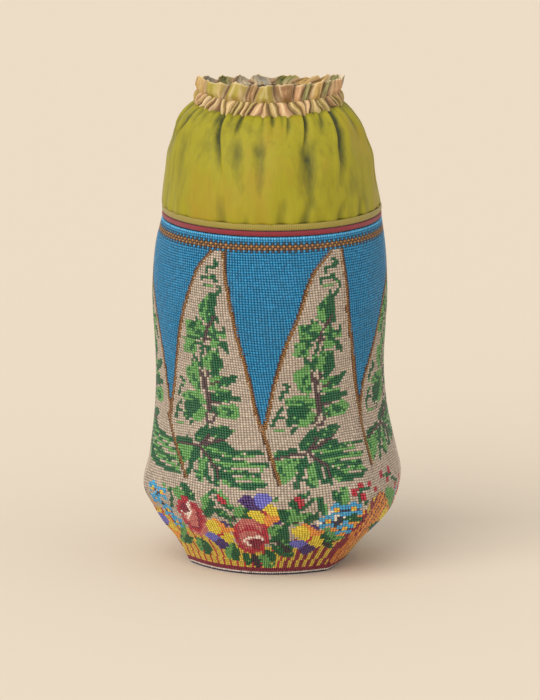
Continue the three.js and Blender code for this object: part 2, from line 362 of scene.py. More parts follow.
# Leaf spray of one panel: tone, width of a line in beads or 0 for a filled outline, (column, row) points
SPRAY = (
    ("leaf", 1.3, ((26, 9.5), (27.5, 11))),
    ("leaf", 1.3, ((23, 14), (23, 12.5), (26.5, 12))),
    ("leaf", 1.3, ((21, 18), (21.5, 17), (23, 16.5), (26, 16), (27, 18))),
    ("leaf", 1.3, ((28, 19), (28.5, 20.5), (27.5, 22), (26.5, 24))),
    ("new_leaf", 1.2, ((23, 19.5), (25, 19.5))),
    ("new_leaf", 0, ((24.5, 22.5), (22.5, 25), (20, 27.5), (20, 31.5), (22, 34), (23.5, 32.5), (24, 27.5))),
    ("leaf", 0, ((25, 21.5), (26.5, 25.5), (26.5, 31), (25.5, 33.5), (23.5, 34), (23, 30), (24, 25.5))),
    ("leaf", 1.2, ((22, 25.5), (21, 29))),
    ("leaf", 1.5, ((26.5, 32), (27, 33))),
    ("new_leaf", 0, (
        (13, 34), (17, 34), (19.5, 33), (21.5, 36),
        (20.5, 39), (18.5, 40), (13.5, 40.5), (13, 37),
    )),
    ("leaf", 1.2, ((18, 33), (17, 35), (16, 35))),
    ("leaf", 1.2, ((14, 36), (15.5, 36), (16.5, 37))),
    ("leaf", 1.2, ((17.5, 38), (19.5, 38))),
    ("leaf", 1.2, ((13.5, 41), (17, 41), (19.5, 39.5), (20.5, 39))),
    ("new_leaf", 0, (
        (11.5, 41), (13.5, 41.5), (17.5, 42), (16.5, 44),
        (16, 46.5), (13, 46.5), (11, 46), (12, 43.5),
    )),
    ("leaf", 1.2, ((18, 42.5), (16.5, 42.5), (15.5, 43.5))),
    ("leaf", 1.2, ((14, 45), (15.5, 45))),
    ("new_leaf", 0, (
        (22.5, 36.5), (25, 35), (27, 37), (30, 38), (29.5, 39.5),
        (26.5, 39), (27, 41.5), (26, 43.5), (23, 43.5), (23, 40.5),
    )),
    ("leaf", 1.2, ((25, 35), (25.5, 37), (27, 37.5), (29.5, 37.5), (29, 36))),
    ("leaf", 1.4, ((22.5, 38.5), (25, 39), (26, 40.5))),
    ("leaf", 0, ((27, 41.5), (29, 41.5), (30, 45.5), (28, 44.5))),
    ("stem", 1.2, ((25.5, 31.5), (23.5, 34.5), (21.5, 37.5), (20.5, 41.5))),
    ("stem", 1.0, ((21, 40.5), (23, 40.5))),
    ("leaf", 1.2, ((19.5, 42), (20, 44))),
    ("leaf", 1.2, ((19, 44.5), (19.5, 46.5))),
    ("leaf", 1.2, ((18.5, 46.5), (19, 49), (18.5, 52.5))),
    ("leaf", 1.2, ((22, 43.5), (22, 45), (21, 46))),
    ("leaf", 1.4, ((15.5, 48), (17, 50), (18, 51.5))),
    ("new_leaf", 0, (
        (24.5, 45), (22.5, 45.5), (20.5, 47), (19.5, 49),
        (20, 51.5), (21, 53), (22.5, 53), (23.5, 49.5),
    )),
    ("leaf", 0, (
        (25.5, 44.5), (26.5, 49), (26.5, 51.5), (25, 53.5), (24, 55.5),
        (22, 55), (22.5, 52.5), (23, 49.5), (24, 46),
    )),
    ("new_leaf", 0, (
        (15, 49.5), (17, 51), (17.5, 53.5), (17, 56.5), (17.5, 61), (16.5, 61.5),
        (14, 60), (12, 56), (11.5, 53), (13, 52.5), (15, 52.5),
    )),
    ("leaf", 1.3, ((15, 56), (15.5, 57.5))),
    ("leaf", 1.3, ((17, 58.5), (17, 60))),
    ("new_leaf", 0, ((21.5, 56.5), (24.5, 55.5), (27.5, 55), (24.5, 59), (22.5, 60))),
    ("leaf", 0, ((25.5, 56.5), (28, 55), (32, 54.5), (30.5, 56.5), (28, 58.5), (24.5, 59.5), (24.5, 58))),
    ("new_leaf", 1.2, ((21.5, 60.5), (24.5, 60.5), (29, 61))),
    ("leaf", 0, ((22, 62.5), (24.5, 61.5), (28, 61.5), (33, 63), (29.5, 64), (25, 64.5), (23, 64.5))),
    ("leaf", 1.2, ((8.5, 57.5), (9, 58))),
    ("leaf", 1.3, ((10, 58.5), (9.5, 60), (7.5, 61), (7, 63), (6.5, 64))),
    ("stem", 1.42, ((18, 54), (19, 57.5), (20, 61.5), (20.5, 65), (21, 68.5))),
    ("stem", 1.05, ((21, 53), (21, 55), (19.5, 58))),
    ("stem", 1.0, ((21.5, 59), (24.5, 57.5))),
    ("new_leaf", 0, (
        (8.5, 64), (10.5, 63), (13, 62), (18.5, 63),
        (19.5, 67), (15.5, 66.5), (12.5, 66.5), (9, 66),
    )),
    ("leaf", 1.2, ((12.5, 64), (14.5, 65), (17.5, 65.5))),
    ("leaf", 0, (
        (9, 67), (13.5, 66.5), (18, 67), (17, 69), (14.5, 70.5),
        (12.5, 72.5), (9, 73.5), (8, 72), (9.5, 70),
    )),
    ("new_leaf", 0, ((14, 71.5), (18, 68), (20, 69.5), (17.5, 72.5), (14.5, 74), (12.5, 73.5))),
    ("leaf", 1.3, ((7.5, 67), (6, 68), (5, 70), (3.5, 72.5), (3.5, 74))),
    ("leaf", 1.2, ((6, 70.5), (7, 70.5))),
    ("new_leaf", 1.1, ((4, 75.5), (7, 75.5))),
    ("leaf", 1.2, ((10, 76), (11.5, 74.5))),
    ("leaf", 0, ((22, 62), (31, 63.5), (28, 64.5), (24, 65.5), (21.5, 65))),
    ("new_leaf", 0, ((25, 66.5), (30.5, 65.5), (32.5, 68), (31, 70.5), (26.5, 71), (23, 70.5), (23.5, 68))),
    ("leaf", 0, ((21.5, 66.5), (24, 68), (24.5, 70), (22, 69.5), (21, 68))),
    ("leaf", 1.2, ((26, 67), (29.5, 68.5), (27.5, 69.5))),
    ("stem", 1.42, ((20.5, 62), (21, 65.5), (21.5, 68))),
    ("stem", 1.0, ((21.5, 65.5), (25.5, 66))),
    ("stem", 1.0, ((20.5, 68.5), (19, 73), (21, 74), (23, 71), (23, 69.5))),
    ("leaf", 0, (
        (19, 74.5), (20, 77.5), (19, 80), (15.5, 82),
        (13, 82.5), (12.5, 80), (15, 77.5), (17.5, 75.5),
    )),
    ("leaf", 0, ((21, 75.5), (24.5, 74.5), (29, 75), (26, 78), (24, 79.5), (20.5, 79), (20, 77.5))),
    ("leaf", 0, ((22.5, 80.5), (26, 80), (28, 82.5), (26, 83.5), (20.5, 83.5), (17, 83.5), (19.5, 81.5))),
    ("new_leaf", 1.2, ((16.5, 83.5), (26.5, 84.5), (33.5, 84))),
    ("leaf", 1.5, ((27, 83.5), (31, 82.5), (36.5, 82.5))),
    ("leaf", 0, ((17.5, 84.5), (20, 85), (30, 86), (37, 86), (36.5, 87), (30, 87), (24, 86.5), (20, 87))),
    ("new_leaf", 1.4, ((19.5, 88), (25.5, 88), (31.5, 87), (35.5, 87))),
    ("leaf", 1.3, ((21.5, 89), (26.5, 90), (31, 89.5))),
    ("new_leaf", 1.1, ((25, 90.5), (31.5, 90), (35, 89))),
    ("leaf", 1.3, ((26.5, 91.5), (31, 90.5), (34.5, 90))),
    ("new_leaf", 1.9, ((27.5, 93), (32, 92), (35.5, 92.5))),
    ("leaf", 0, (
        (22, 90.5), (25, 91.5), (28, 94.5), (31.5, 94.5), (36.5, 93.5),
        (33.5, 95.5), (28.5, 96.5), (26, 96.5), (23, 94.5),
    )),
    ("new_leaf", 1.6, ((24, 95), (25.5, 96))),
    ("leaf", 0, ((4, 84), (7, 83), (11, 83.5), (11, 84.5), (5.5, 86), (4, 86))),
    ("leaf", 1.2, ((9, 82), (11, 82.5))),
    ("new_leaf", 0, (
        (4.5, 87.5), (8, 86.5), (12.5, 86), (11, 89.5),
        (9.5, 92.5), (7, 95.5), (6, 96), (5, 92.5),
    )),
    ("leaf", 1.3, ((5.5, 89.5), (6, 91))),
    ("leaf", 0, ((12, 86.5), (14.5, 85.5), (15, 88.5), (13, 90.5), (12, 94), (11, 98), (10, 97), (11, 93))),
    ("new_leaf", 0, ((15, 89.5), (17, 88), (17.5, 92.5), (17, 97.5), (15.5, 96.5), (14.5, 93))),
    ("leaf", 1.3, ((13.5, 94.5), (14.5, 96), (16, 97.5))),
    ("leaf", 0, ((16.5, 85), (19.5, 88), (22, 90.5), (21.5, 92.5), (19.5, 89.5), (17, 88))),
    ("leaf", 1.6, ((18, 90), (18, 93.5), (20, 96.5))),
    ("leaf", 1.8, ((21.5, 92.5), (22, 97))),
    ("stem", 1.2, ((19, 78.5), (17, 81.5), (14.5, 84))),
    ("stem", 1.27, ((17.5, 82.5), (22.5, 80), (25, 79))),
    ("stem", 1.05, ((4.5, 86.5), (8.5, 85), (14.5, 84), (16, 83.5))),
    ("stem", 1.27, ((16, 85), (18.5, 87), (21.5, 90.5), (22, 94))),
)

# Garland round the base: how many columns one repeat takes, and where the striped foot starts below it
GARLAND_COLUMNS = 126
FOOT_EDGE = {
    "column": (-63, -46, -39, -24, -14, -1, 5, 12, 18, 23, 26, 31, 35, 41, 47, 56, 63),
    "row": (110, 114, 120, 122, 126, 126, 122, 120, 120, 119, 114, 110, 105, 104, 108, 110, 110),
}
# The crease between the front and the right side, and the stripes beside it: how far each reaches from it
CREASE = {
    "row": (104, 108.5, 111.5, 114.5, 118, 121, 124.5, 130, 134.5, 140),
    "column": (38, 35.5, 31.5, 29.5, 27.5, 26, 28, 28, 27.5, 29.5),
}
CREASE_STRIPES = (
    ("maroon", 1.6), ("amber", 4.0), ("maroon", 5.0), ("orange", 7.5), ("brown", 8.4),
    ("amber", 11.5), ("brown", 12.4), ("orange", 16.0), ("maroon", 17.0), ("gold", 20.0),
    ("brown", 21.0), ("amber", 24.0), ("maroon", 25.0),
)
# Upright stripes of the foot: columns in one, how many of them are dark to the left of a column and from
# it on, and that column. Below the last row the foot is dark all round.
FOOT_STRIPE = 4
FOOT_NARROW = 1
FOOT_BROAD = 2
FOOT_BROAD_COLUMN = 4
FOOT_EDGE_ROW = 139

# Leaves, buds and stripes of the garland, drawn as the spray is
GARLAND = (
    ("leaf", 1.6, ((-37.5, 102.5), (-37, 106), (-40, 110.5))),
    ("new_leaf", 1.2, ((-41, 101), (-40, 104))),
    ("new_leaf", 0, ((-36, 102.5), (-33.5, 101.5), (-31, 103.5), (-32.5, 105.5), (-34.5, 105.5))),
    ("leaf", 0, (
        (-33, 99), (-31, 99), (-27.5, 102), (-26.5, 104.5),
        (-27.5, 105), (-29.5, 104), (-31.5, 102),
    )),
    ("new_leaf", 0, ((-23.5, 102), (-22, 101.5), (-21.5, 103.5), (-22.5, 107), (-24.5, 109), (-24.5, 106))),
    ("leaf", 0, (
        (-21.5, 103.5), (-20, 104.5), (-20.5, 108.5), (-22.5, 111),
        (-24.5, 111.5), (-24.5, 109.5), (-22, 107),
    )),
    ("leaf", 1.5, ((-21, 101), (-19.5, 99.5))),
    ("leaf", 0, ((-19, 102.5), (-17, 105.5), (-14.5, 108), (-13.5, 105.5), (-15.5, 104), (-17, 102))),
    ("new_leaf", 1.4, ((-18, 100), (-15.5, 102.5), (-14.5, 105.5))),
    ("crimson", 1.8, ((-18.5, 102), (-16, 104.5))),
    ("leaf", 0, (
        (-19.5, 107.5), (-17.5, 107.5), (-16, 109.5), (-14.5, 112.5),
        (-16, 113), (-17.5, 111.5), (-19.5, 110.5),
    )),
    ("new_leaf", 1.1, ((-17.5, 108.5), (-15.5, 110.5))),
    ("leaf", 1.4, ((-16, 114), (-15.5, 116.5))),
    ("new_leaf", 0, (
        (-13, 106.5), (-11, 105.5), (-9.5, 107.5),
        (-10.5, 110.5), (-13, 111), (-13.5, 109.5),
    )),
    ("leaf", 0, ((-9, 106), (-8, 108), (-8.5, 111.5), (-11, 112), (-12, 111.5), (-10.5, 109))),
    ("black", 1, ((-14, 110.5), (-14, 112))),
    ("new_leaf", 0, ((-40.5, 119), (-38, 118.5), (-41.5, 125), (-47, 131.5), (-50, 131.5), (-44.5, 125))),
    ("leaf", 0, ((-41.5, 125), (-39, 126.5), (-43, 131), (-47.5, 132), (-47, 130.5))),
    ("new_leaf", 0, ((-36, 125.5), (-33, 125), (-35, 132), (-38, 134), (-39, 131))),
    ("leaf", 0, ((-33, 125), (-31, 127), (-30.5, 132), (-33.5, 135), (-36, 134.5), (-35, 130))),
    ("new_leaf", 0, ((-21, 125.5), (-16.5, 125), (-18, 131.5), (-21, 136), (-22.5, 133))),
    ("leaf", 0, ((-16.5, 126.5), (-15, 131), (-16, 135.5), (-19, 135.5), (-19.5, 133))),
    ("leaf", 0, ((-13.5, 131.5), (-11.5, 131.5), (-9.5, 136), (-11, 138), (-13, 135))),
    ("black", 0, ((-10, 131.5), (-7.5, 132), (-5, 137.5), (-6.5, 139.5), (-9, 135.5))),
    ("new_leaf", 0, ((-6.5, 132), (-3.5, 130.5), (-0.5, 135.5), (0.5, 139), (-2.5, 138.5), (-5.5, 135))),
    ("leaf", 0, ((-3.5, 128), (-0.5, 129.5), (1.5, 134.5), (1.5, 137.5), (-1, 134.5), (-3.5, 130.5))),
    ("new_leaf", 0, ((-3, 114.5), (0, 113.5), (2.5, 114), (1, 117), (-1.5, 119.5), (-3, 117))),
    ("leaf", 0, ((2.5, 113), (4, 113.5), (5.5, 123), (1.5, 123.5), (-3, 122), (-0.5, 119), (2, 117))),
    ("black", 0, ((0, 122.5), (3.5, 123.5), (6.5, 128), (7, 130), (3, 128.5))),
    ("leaf", 0, ((-2, 124), (1, 125.5), (7.5, 132), (4.5, 132.5), (0.5, 129.5))),
    ("leaf", 0, ((2.5, 106), (4, 106), (5.5, 110), (3, 111.5), (2.5, 109))),
    ("new_leaf", 1.3, ((0.5, 102.5), (2, 102))),
    ("new_leaf", 0, ((5, 106), (8, 106), (8, 110.5), (7.5, 113.5), (5, 112.5))),
    ("leaf", 0, ((2.5, 107.5), (4.5, 107.5), (5, 112), (4.5, 113.5), (2.5, 111))),
    ("leaf", 0, ((1.5, 115.5), (3.5, 116), (7, 127), (9, 132.5), (5.5, 132), (2.5, 131), (1, 121))),
    ("black", 0, ((2, 123.5), (5.5, 126.5), (7.5, 130), (4.5, 129.5))),
    ("leaf", 0, ((6, 103), (8, 102.5), (8, 105.5), (6.5, 106))),
    ("crimson", 2.2, ((8.5, 101.5), (9.5, 104.5))),
    ("rose", 1.1, ((9.5, 102.5), (9.5, 103.5))),
    ("leaf", 1.3, ((9, 100), (9.5, 101))),
    ("leaf", 1.2, ((10.5, 101), (12, 99))),
    ("leaf", 1.7, ((8, 107), (11, 105.5), (13, 102.5))),
    ("new_leaf", 0, ((8, 108), (12, 108), (12, 111), (8.5, 112))),
    ("leaf", 0, ((12.5, 109.5), (14.5, 108.5), (15, 111), (12, 113.5), (9.5, 113.5), (11, 111.5))),
    ("black", 1.1, ((6.5, 113), (8, 112.5))),
    ("leaf", 0, ((15, 102), (16, 103), (17, 107), (17, 109.5), (16, 109.5), (15, 105))),
    ("new_leaf", 1.2, ((17, 106), (17.5, 110))),
    ("leaf", 0, ((19, 100), (21.5, 101), (23, 103), (23, 106), (21, 105), (19.5, 103))),
    ("new_leaf", 0, ((22.5, 99.5), (25, 99.5), (25, 103), (24.5, 106), (23, 105.5), (22.5, 103))),
    ("leaf", 0, ((23.5, 111), (26.5, 110.5), (29.5, 111.5), (30.5, 113), (28, 114.5), (24.5, 114))),
    ("new_leaf", 0, (
        (17, 116), (19.5, 117), (23, 119.5), (27, 122.5),
        (24.5, 123.5), (20.5, 121), (18, 118.5),
    )),
    ("leaf", 0, ((16, 119), (18, 118.5), (22.5, 123.5), (25, 128.5), (22.5, 127.5), (18, 123.5))),
    ("black", 1.4, ((18.5, 123.5), (23.5, 127.5))),
    ("leaf", 1.2, ((29, 101), (33.5, 100.5))),
    ("leaf", 1.2, ((28.5, 103), (29, 105))),
    ("leaf", 1.2, ((31, 106), (32, 105.5))),
    ("leaf", 1.3, ((42.5, 98.5), (49.5, 99.5))),
    ("leaf", 1.2, ((50, 101.5), (57, 104))),
    ("new_leaf", 0, ((44.5, 104), (51.5, 106), (63, 113), (63, 117), (55, 114.5), (46, 108))),
    ("yellow", 0, ((45.5, 117), (48.5, 114), (61.5, 117.5), (63, 120.5), (63, 124))),
    ("leaf", 0, ((39, 120), (44.5, 119), (63, 124.5), (63, 128), (46, 124))),
)

# Berries and dots of the garland: tone and (column, row) places
GARLAND_DOTS = (
    ("crimson", ((27.5, 101.5), (30, 99), (34, 99), (30.5, 103.5), (37, 102), (41.5, 97.5))),
    ("crimson", ((46, 101), (47.5, 97.5), (54.5, 105.5), (60, 103))),
    ("orange", ((21, 116.5), (22.5, 118), (24.5, 119.5), (27, 115.5), (29.5, 110.5))),
    ("orange", ((-50.5, 111), (-48.5, 119))),
    ("white", ((20.5, 111.5), (19, 109), (23.5, 111), (15.5, 113))),
    ("black", ((24, 108), (21.5, 114.5), (22, 112.5), (-45, 110.5), (-45.5, 106.5))),
)

# Flowers of the garland, bead by bead. A point leaves the ground as it is.
FLOWERS = {
    "rose": (
        "...RRRR......",
        "..RrRRhRRr...",
        ".RRmmhhrRRr..",
        ".RmmmmhkrRRr.",
        "RRmmmmhkkRRr.",
        "RRmmmmhkkmRr.",
        "RrhmmhhkkmRRr",
        "RrkhhhkkkmRrk",
        ".rkkhkkkkmRrk",
        ".RrkkkkkkmRkk",
        "..RrkkkkmRkkk",
        "..RmRkkkmRkkk",
        "...RmmmmmRkk.",
        "...rRRRRRkkk.",
        "....kkRRkkk..",
        "....kkkkkk...",
        ".....kkkk....",
    ),
    "full_rose": (
        "...kkkkkk....",
        "..kkkkkkkkr..",
        ".rkkkkkkkrrR.",
        "RrkkrrrrkkrRR",
        "RrkRRRRRRkrRR",
        "RrRkkkkkkRrRR",
        "RRrkkkkkkkRrR",
        "RRkkkkkkhhkRR",
        "RRkkkhhhhhhrR",
        "RRkkhhkmmmhrR",
        ".RrkhkmmmmmRR",
        ".RrkhhmmmmmRR",
        ".RRkkhmmmmmR.",
        "..RrkhhmmmRR.",
        "..RRrkkmmmR..",
        "...RRRrRRRR..",
        "....rRRRRr...",
        "......RR.....",
    ),
    "pansy": (
        "......vvvv...",
        ".VVV.vvvvvv..",
        "VVVVVvvvvvv..",
        "VVVVVVvvvvv..",
        ".VVVVVvvvvYY.",
        "..VVVVVvvYYYY",
        "...VVVVVYYYYY",
        "....VVVmYYYYY",
        "...YYYYmRYYYY",
        "...YYYYYROYYY",
        "...YYYYYOOOOO",
        "....YYYYOOOOO",
        ".....YYYOOOOV",
        "......YYOOOVV",
        "........OO...",
    ),
    "low_pansy": (
        "....OO......",
        "..YYYOOVV...",
        ".YYYYYOOVV..",
        ".YYYYYOOOV..",
        ".YYYYYYOOOOO",
        "..YYYYYOOOOO",
        "..YYYYYOOOO.",
        "...YYYYRYYY.",
        ".vvvvYRRYYYY",
        "vvvvvvRYYYYY",
        "vvvvvvvYYYYY",
        ".vvvvvVVYYYY",
        "..vvvVVVVYYY",
        "...vVVVVVVY.",
        "....VVVVVV..",
        "....VVVVVV..",
        ".....VVVV...",
        "......VV....",
    ),
    "forget_me_not": (
        "..BB..",
        "BBBBBB",
        "BBOYBB",
        ".NYON.",
        "BBBBBB",
        "BB..BB",
    ),
}
# Where the flowers lie: column and row of the middle, width and height in beads, and how far the flower
# leans sideways and how much it widens from one row to the next
FLOWER_PLACES = (
    ("rose", (-31.6, 114), (13.4, 19), -0.22, 0.015),
    ("low_pansy", (-22.6, 121), (13.0, 18), -0.24, 0.012),
    ("full_rose", (-9.6, 121), (13.2, 19.5), -0.1, 0.014),
    ("pansy", (-5.0, 107), (13.6, 14.4), -0.06, 0.01),
    ("low_pansy", (12.2, 122.6), (13.6, 19), 0.14, 0.012),
    ("forget_me_not", (21.2, 108.2), (5.6, 6.4), 0.1, 0.0),
    ("forget_me_not", (27.0, 108.2), (5.6, 6.4), 0.1, 0.0),
    ("forget_me_not", (18.0, 113.2), (5.6, 6.4), 0.1, 0.0),
    ("forget_me_not", (24.6, 116.8), (6.0, 6.8), 0.2, 0.0),
    ("forget_me_not", (-47.3, 103.8), (4.6, 5.0), -0.2, 0.0),
    ("forget_me_not", (-42.6, 105.2), (5.0, 5.4), -0.2, 0.0),
    ("forget_me_not", (-47.6, 108.6), (5.0, 5.4), -0.2, 0.0),
    ("forget_me_not", (-43.6, 112.6), (5.4, 6.0), -0.3, 0.0),
    ("forget_me_not", (-41.8, 117.8), (5.4, 6.0), -0.3, 0.0),
    ("forget_me_not", (58.8, 109.2), (5.0, 5.4), 0.2, 0.0),
    ("rose", (65, 114), (13.4, 18), 0.0, 0.012),
    ("low_pansy", (55.5, 122), (12.0, 16), 0.1, 0.012),
    ("pansy", (-52.5, 123), (12.0, 14), -0.1, 0.012),
)

# The base: facets round it, width of the ring at its edge as a share of the radius, height of its upper
# face, and how far its upper face and its underside reach out from the middle of the beaded wall
BASE_FACETS = 144
BASE_RING = 0.04
BASE_TOP = 1.7
BASE_UPPER_REACH = 0.45
BASE_UNDER_REACH = 0.15
# From one round of the knitting under the base to the next, in metres
BASE_ROUND = 0.0014
# Rounds of beads on the base's rim: piece, height and tone, with their number, pitch and reach
RIMS = (("rim_white_beads", 1.5, "white"), ("rim_blue_beads", 0.85, "navy"))
RIM_BEADS = 220
RIM_PITCH = 1.0
RIM_REACH = 0.35

# Bands between beads and silk: piece, material, colour, slot, node, bottom, top, how far each stands out
# from the wall's middle at its edges and how much more half way up, its ribs in radians a metre, and the
# share of its colour that is left between them
BAND_FIELDS = (
    "piece", "material", "colour", "slot", "node", "bottom", "top", "out", "crown", "ribs", "dark",
)
BANDS = named_rows(BAND_FIELDS, (
    ("binding_braid", "crimson_rib", "binding", "crimson_braid", "crimson_binding",
     BINDING_BOTTOM, BINDING_TOP, 0.2, 0.8, 9000.0, 0.5),
    ("hem_fold", "hem_fold", "hem", "hem_silk", "silk_hem",
     HEM_BOTTOM, HEM_TOP, 0.45, 0.55, 5200.0, 0.7),
))
# Length of the bands' map in metres, and their thickness
BAND_LENGTH = 0.36
BAND_THICKNESS = 1.2

# Flat sizes of the sheets of silk in metres, and how finely they are divided round and up
SILK_FLAT = (0.40, 0.062)
CASING_FLAT = (0.36, 0.010)
RUFFLE_FLAT = (0.24, 0.010)
BAND_GRID = (216, 6)
SILK_GRID = (440, 48)
CASING_GRID = (696, 20)
RUFFLE_GRID = (720, 14)
# Threads of the weave in radians a metre
WEAVE = 12000.0
# Lines of painted highlight and shade for fine folds along each gather of the casing and each lobe of the
# ruffle, and the width of one crinkle of the ruffle in degrees
CASING_LINES = 5
RUFFLE_LINES = 6
CRINKLE = 2.6
# Thickness of the doubled casing, in thicknesses of the silk
CASING_LAYERS = 1.6

# Seeds of the random draws
MOTTLE_SEED = 3
CASING_SEED = 7
CASING_LINE_SEED = 11
RUFFLE_LINE_SEED = 5
FIRST_BEAD_SEED = 1
EDGE_SEED = 21
FIRST_RIM_SEED = 41

# Camera and light: height that the camera looks at, height of its sensor, how far it sees, half the
# floor's width, colour of all light, and strength of the sky
VIEW_HEIGHT = 0.1174
SENSOR = 24.0
SIGHT = 60.0
HALF_FLOOR = 8.0
WARM_WHITE = (1.0, 0.97, 0.93)
SKY_STRENGTH = 0.7
# Lamps: name, direction they shine from, strength and spread in degrees
LAMPS = (("key", (-0.6, -0.75, 0.8), 2.05, 60.0), ("fill", (0.9, -0.6, 0.35), 0.45, 80.0))


def linear(colour):
    """An sRGB colour of 0 to 255 as the linear colour that Blender works in."""
    share = np.asarray(colour, float) / 255
    return np.where(share <= 0.04045, share / 12.92, ((share + 0.055) / 1.055) ** 2.4)


def colour_property(name, description, colour):
    return FloatVectorProperty(
        name=name,
        description=description,
        subtype="COLOR",
        size=3,
        min=0.0,
        max=1.0,
        default=[float(part) for part in linear(colour)],
    )


def tone_property(name, use, colour):
    words = name.replace("_", " ")
    return colour_property(words.capitalize(), f"The {words} {use}", colour)


def count_property(name, description, count, least):
    return IntProperty(name=name, description=description, default=count, min=least)


def length_property(name, description, size, least):
    """A length, given in millimetres."""
    return FloatProperty(
        name=name,
        description=description,
        default=size * MM,
        min=least * MM,
        precision=5,
        unit="LENGTH",
    )


class BeadSizes(bpy.types.PropertyGroup):
    """Sizes of the bead knitting."""

    columns: count_property("Columns", "Beads in one round", 2 * GARLAND_COLUMNS, GARLAND_COLUMNS)
    pitch: length_property("Row pitch", "From one round of beads to the next", 1.42, 1.0)
    bulge: length_property("Bead bulge", "How far a bead stands out of the knitting", 0.42, 0.2)
    knitting: length_property("Knitting thickness", "Of the knitted ground under the beads", 1.2, 0.4)
    unevenness: FloatProperty(
        name="Unevenness",
        description="How far beads stray from their place, as a share of a bead",
        default=0.05,
        min=0.0,
        max=0.2,
        subtype="FACTOR",
    )


class BeadColours(bpy.types.PropertyGroup):
    """Colours of the glass beads."""

    __annotations__ = {name: tone_property(name, "beads", colour) for name, colour in TONES.items()}


class FadedColours(bpy.types.PropertyGroup):
    """Colours of the faded silk."""

    __annotations__ = {
        name: tone_property(name, "of the casing and the ruffle", colour) for name, colour in FADED.items()
    }


class ClothSettings(bpy.types.PropertyGroup):
    """Sizes of the silk, the casing and the ruffle, and colours of the silk and the bands."""

    silk_thickness: length_property("Silk thickness", "Of the gathered silk", 0.6, 0.2)
    neck_gathers: count_property("Neck gathers", "Gathers of the silk under the casing", 44, 12)
    casing_gathers: count_property("Casing gathers", "Puffs of the ruched casing", 58, 12)
    silk: colour_property("Silk", "The chartreuse silk in the light", (160, 151, 22))
    # silk_shade is the painted shade of the silk's folds, strokes and blotches, and silk_glow its painted
    # golden highlight.
    silk_shade: colour_property("Silk shade", "The silk in its folds", (62, 66, 24))
    silk_glow: colour_property("Silk glow", "Where the silk has turned golden", (168, 134, 32))
    hem: colour_property("Hem", "The flat turned hem", (152, 136, 50))
    binding: colour_property("Binding", "The crimson binding", (142, 24, 42))


class StageSettings(bpy.types.PropertyGroup):
    """Camera and floor."""

    elevation: FloatProperty(
        name="Elevation",
        description="How far the camera looks down",
        default=math.radians(13),
        subtype="ANGLE",
    )
    distance: length_property("Distance", "From the camera to the bag", 6000, 1000)
    picture_height: length_property("Picture height", "What the picture shows from foot to top", 385, 100)
    floor: colour_property("Floor", "The pale floor", (222, 208, 189))


def column_value(sections, key, height):
    """One column of a section table at given heights, on a smooth curve through its rows."""
    rows = np.asarray(sections["height"], float)
    values = np.asarray(sections[key], float)
    height = np.asarray(height, float)
    last = len(rows) - 1
    row = np.clip(np.searchsorted(rows, height, side="right") - 1, 0, last - 1)
    below = np.maximum(np.arange(last + 1) - 1, 0)
    above = np.minimum(np.arange(last + 1) + 1, last)
    slopes = (values[above] - values[below]) / (rows[above] - rows[below])
    span = rows[row + 1] - rows[row]
    t = np.clip((height - rows[row]) / span, 0, 1)
    start = values[row] * (1 + 2 * t) * (1 - t) ** 2 + slopes[row] * span * t * (1 - t) ** 2
    end = values[row + 1] * t * t * (3 - 2 * t) + slopes[row + 1] * span * t * t * (t - 1)
    return start + end


def bag_centre():
    """Where the sections' middle lies in the frame, in millimetres, from the straight binding."""
    low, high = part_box("crimson_binding")
    shift = BODY_SECTIONS["shift"][-1]
    return (low.x + high.x) / 2 / MM - shift, (low.y + high.y) / 2 / MM


CENTRE_X, CENTRE_Y = bag_centre()


def oval_point(sections, angle, height, out=0.0, level=None):
    """Points on an oval section in the frame, in millimetres, moved outwards by out."""
    half_width = column_value(sections, "half_width", height) + out
    half_depth = column_value(sections, "half_depth", height) + out
    across = half_width * np.sin(angle) + column_value(sections, "shift", height) + CENTRE_X
    along = -half_depth * np.cos(angle) + CENTRE_Y
    up = height if level is None else level
    return np.stack(np.broadcast_arrays(across, along, up), -1).astype(float)


def side_setback(angle):
    """How far a side of the base lies inside its corners, as a share of the radius."""
    first = BASE_SIDES[0]["from"]
    degrees = np.mod(np.degrees(angle) - first, 360) + first
    setback = np.zeros_like(degrees)
    for side in BASE_SIDES:
        half = math.radians(side["to"] - side["from"]) / 2
        from_middle = np.radians(degrees - side["from"]) - half
        inside = np.abs(from_middle) <= half
        setback[inside] = side["flat"] * (1 - math.cos(half) / np.cos(from_middle[inside]))
    return setback


def body_point(angle, height, out=0.0):
    """Points of the beaded wall, out from its middle."""
    corner = column_value(BODY_SECTIONS, "corner", height)
    radius = column_value(BODY_SECTIONS, "half_width", height)
    return oval_point(BODY_SECTIONS, angle, height, out - corner * radius * side_setback(angle))


def band_point(angle, height, out=0.0):
    """Points of the straight bands between the beads and the silk."""
    return oval_point(BODY_SECTIONS, angle, np.full_like(angle, BODY_TOP), out, level=height)


def front_degrees(angle):
    """The angle in degrees from the front, or from the back for the back half, which mirrors it."""
    turned = np.arctan2(np.sin(angle), np.abs(np.cos(angle)))
    return np.degrees(np.where(np.cos(angle) > 0, turned, -turned))


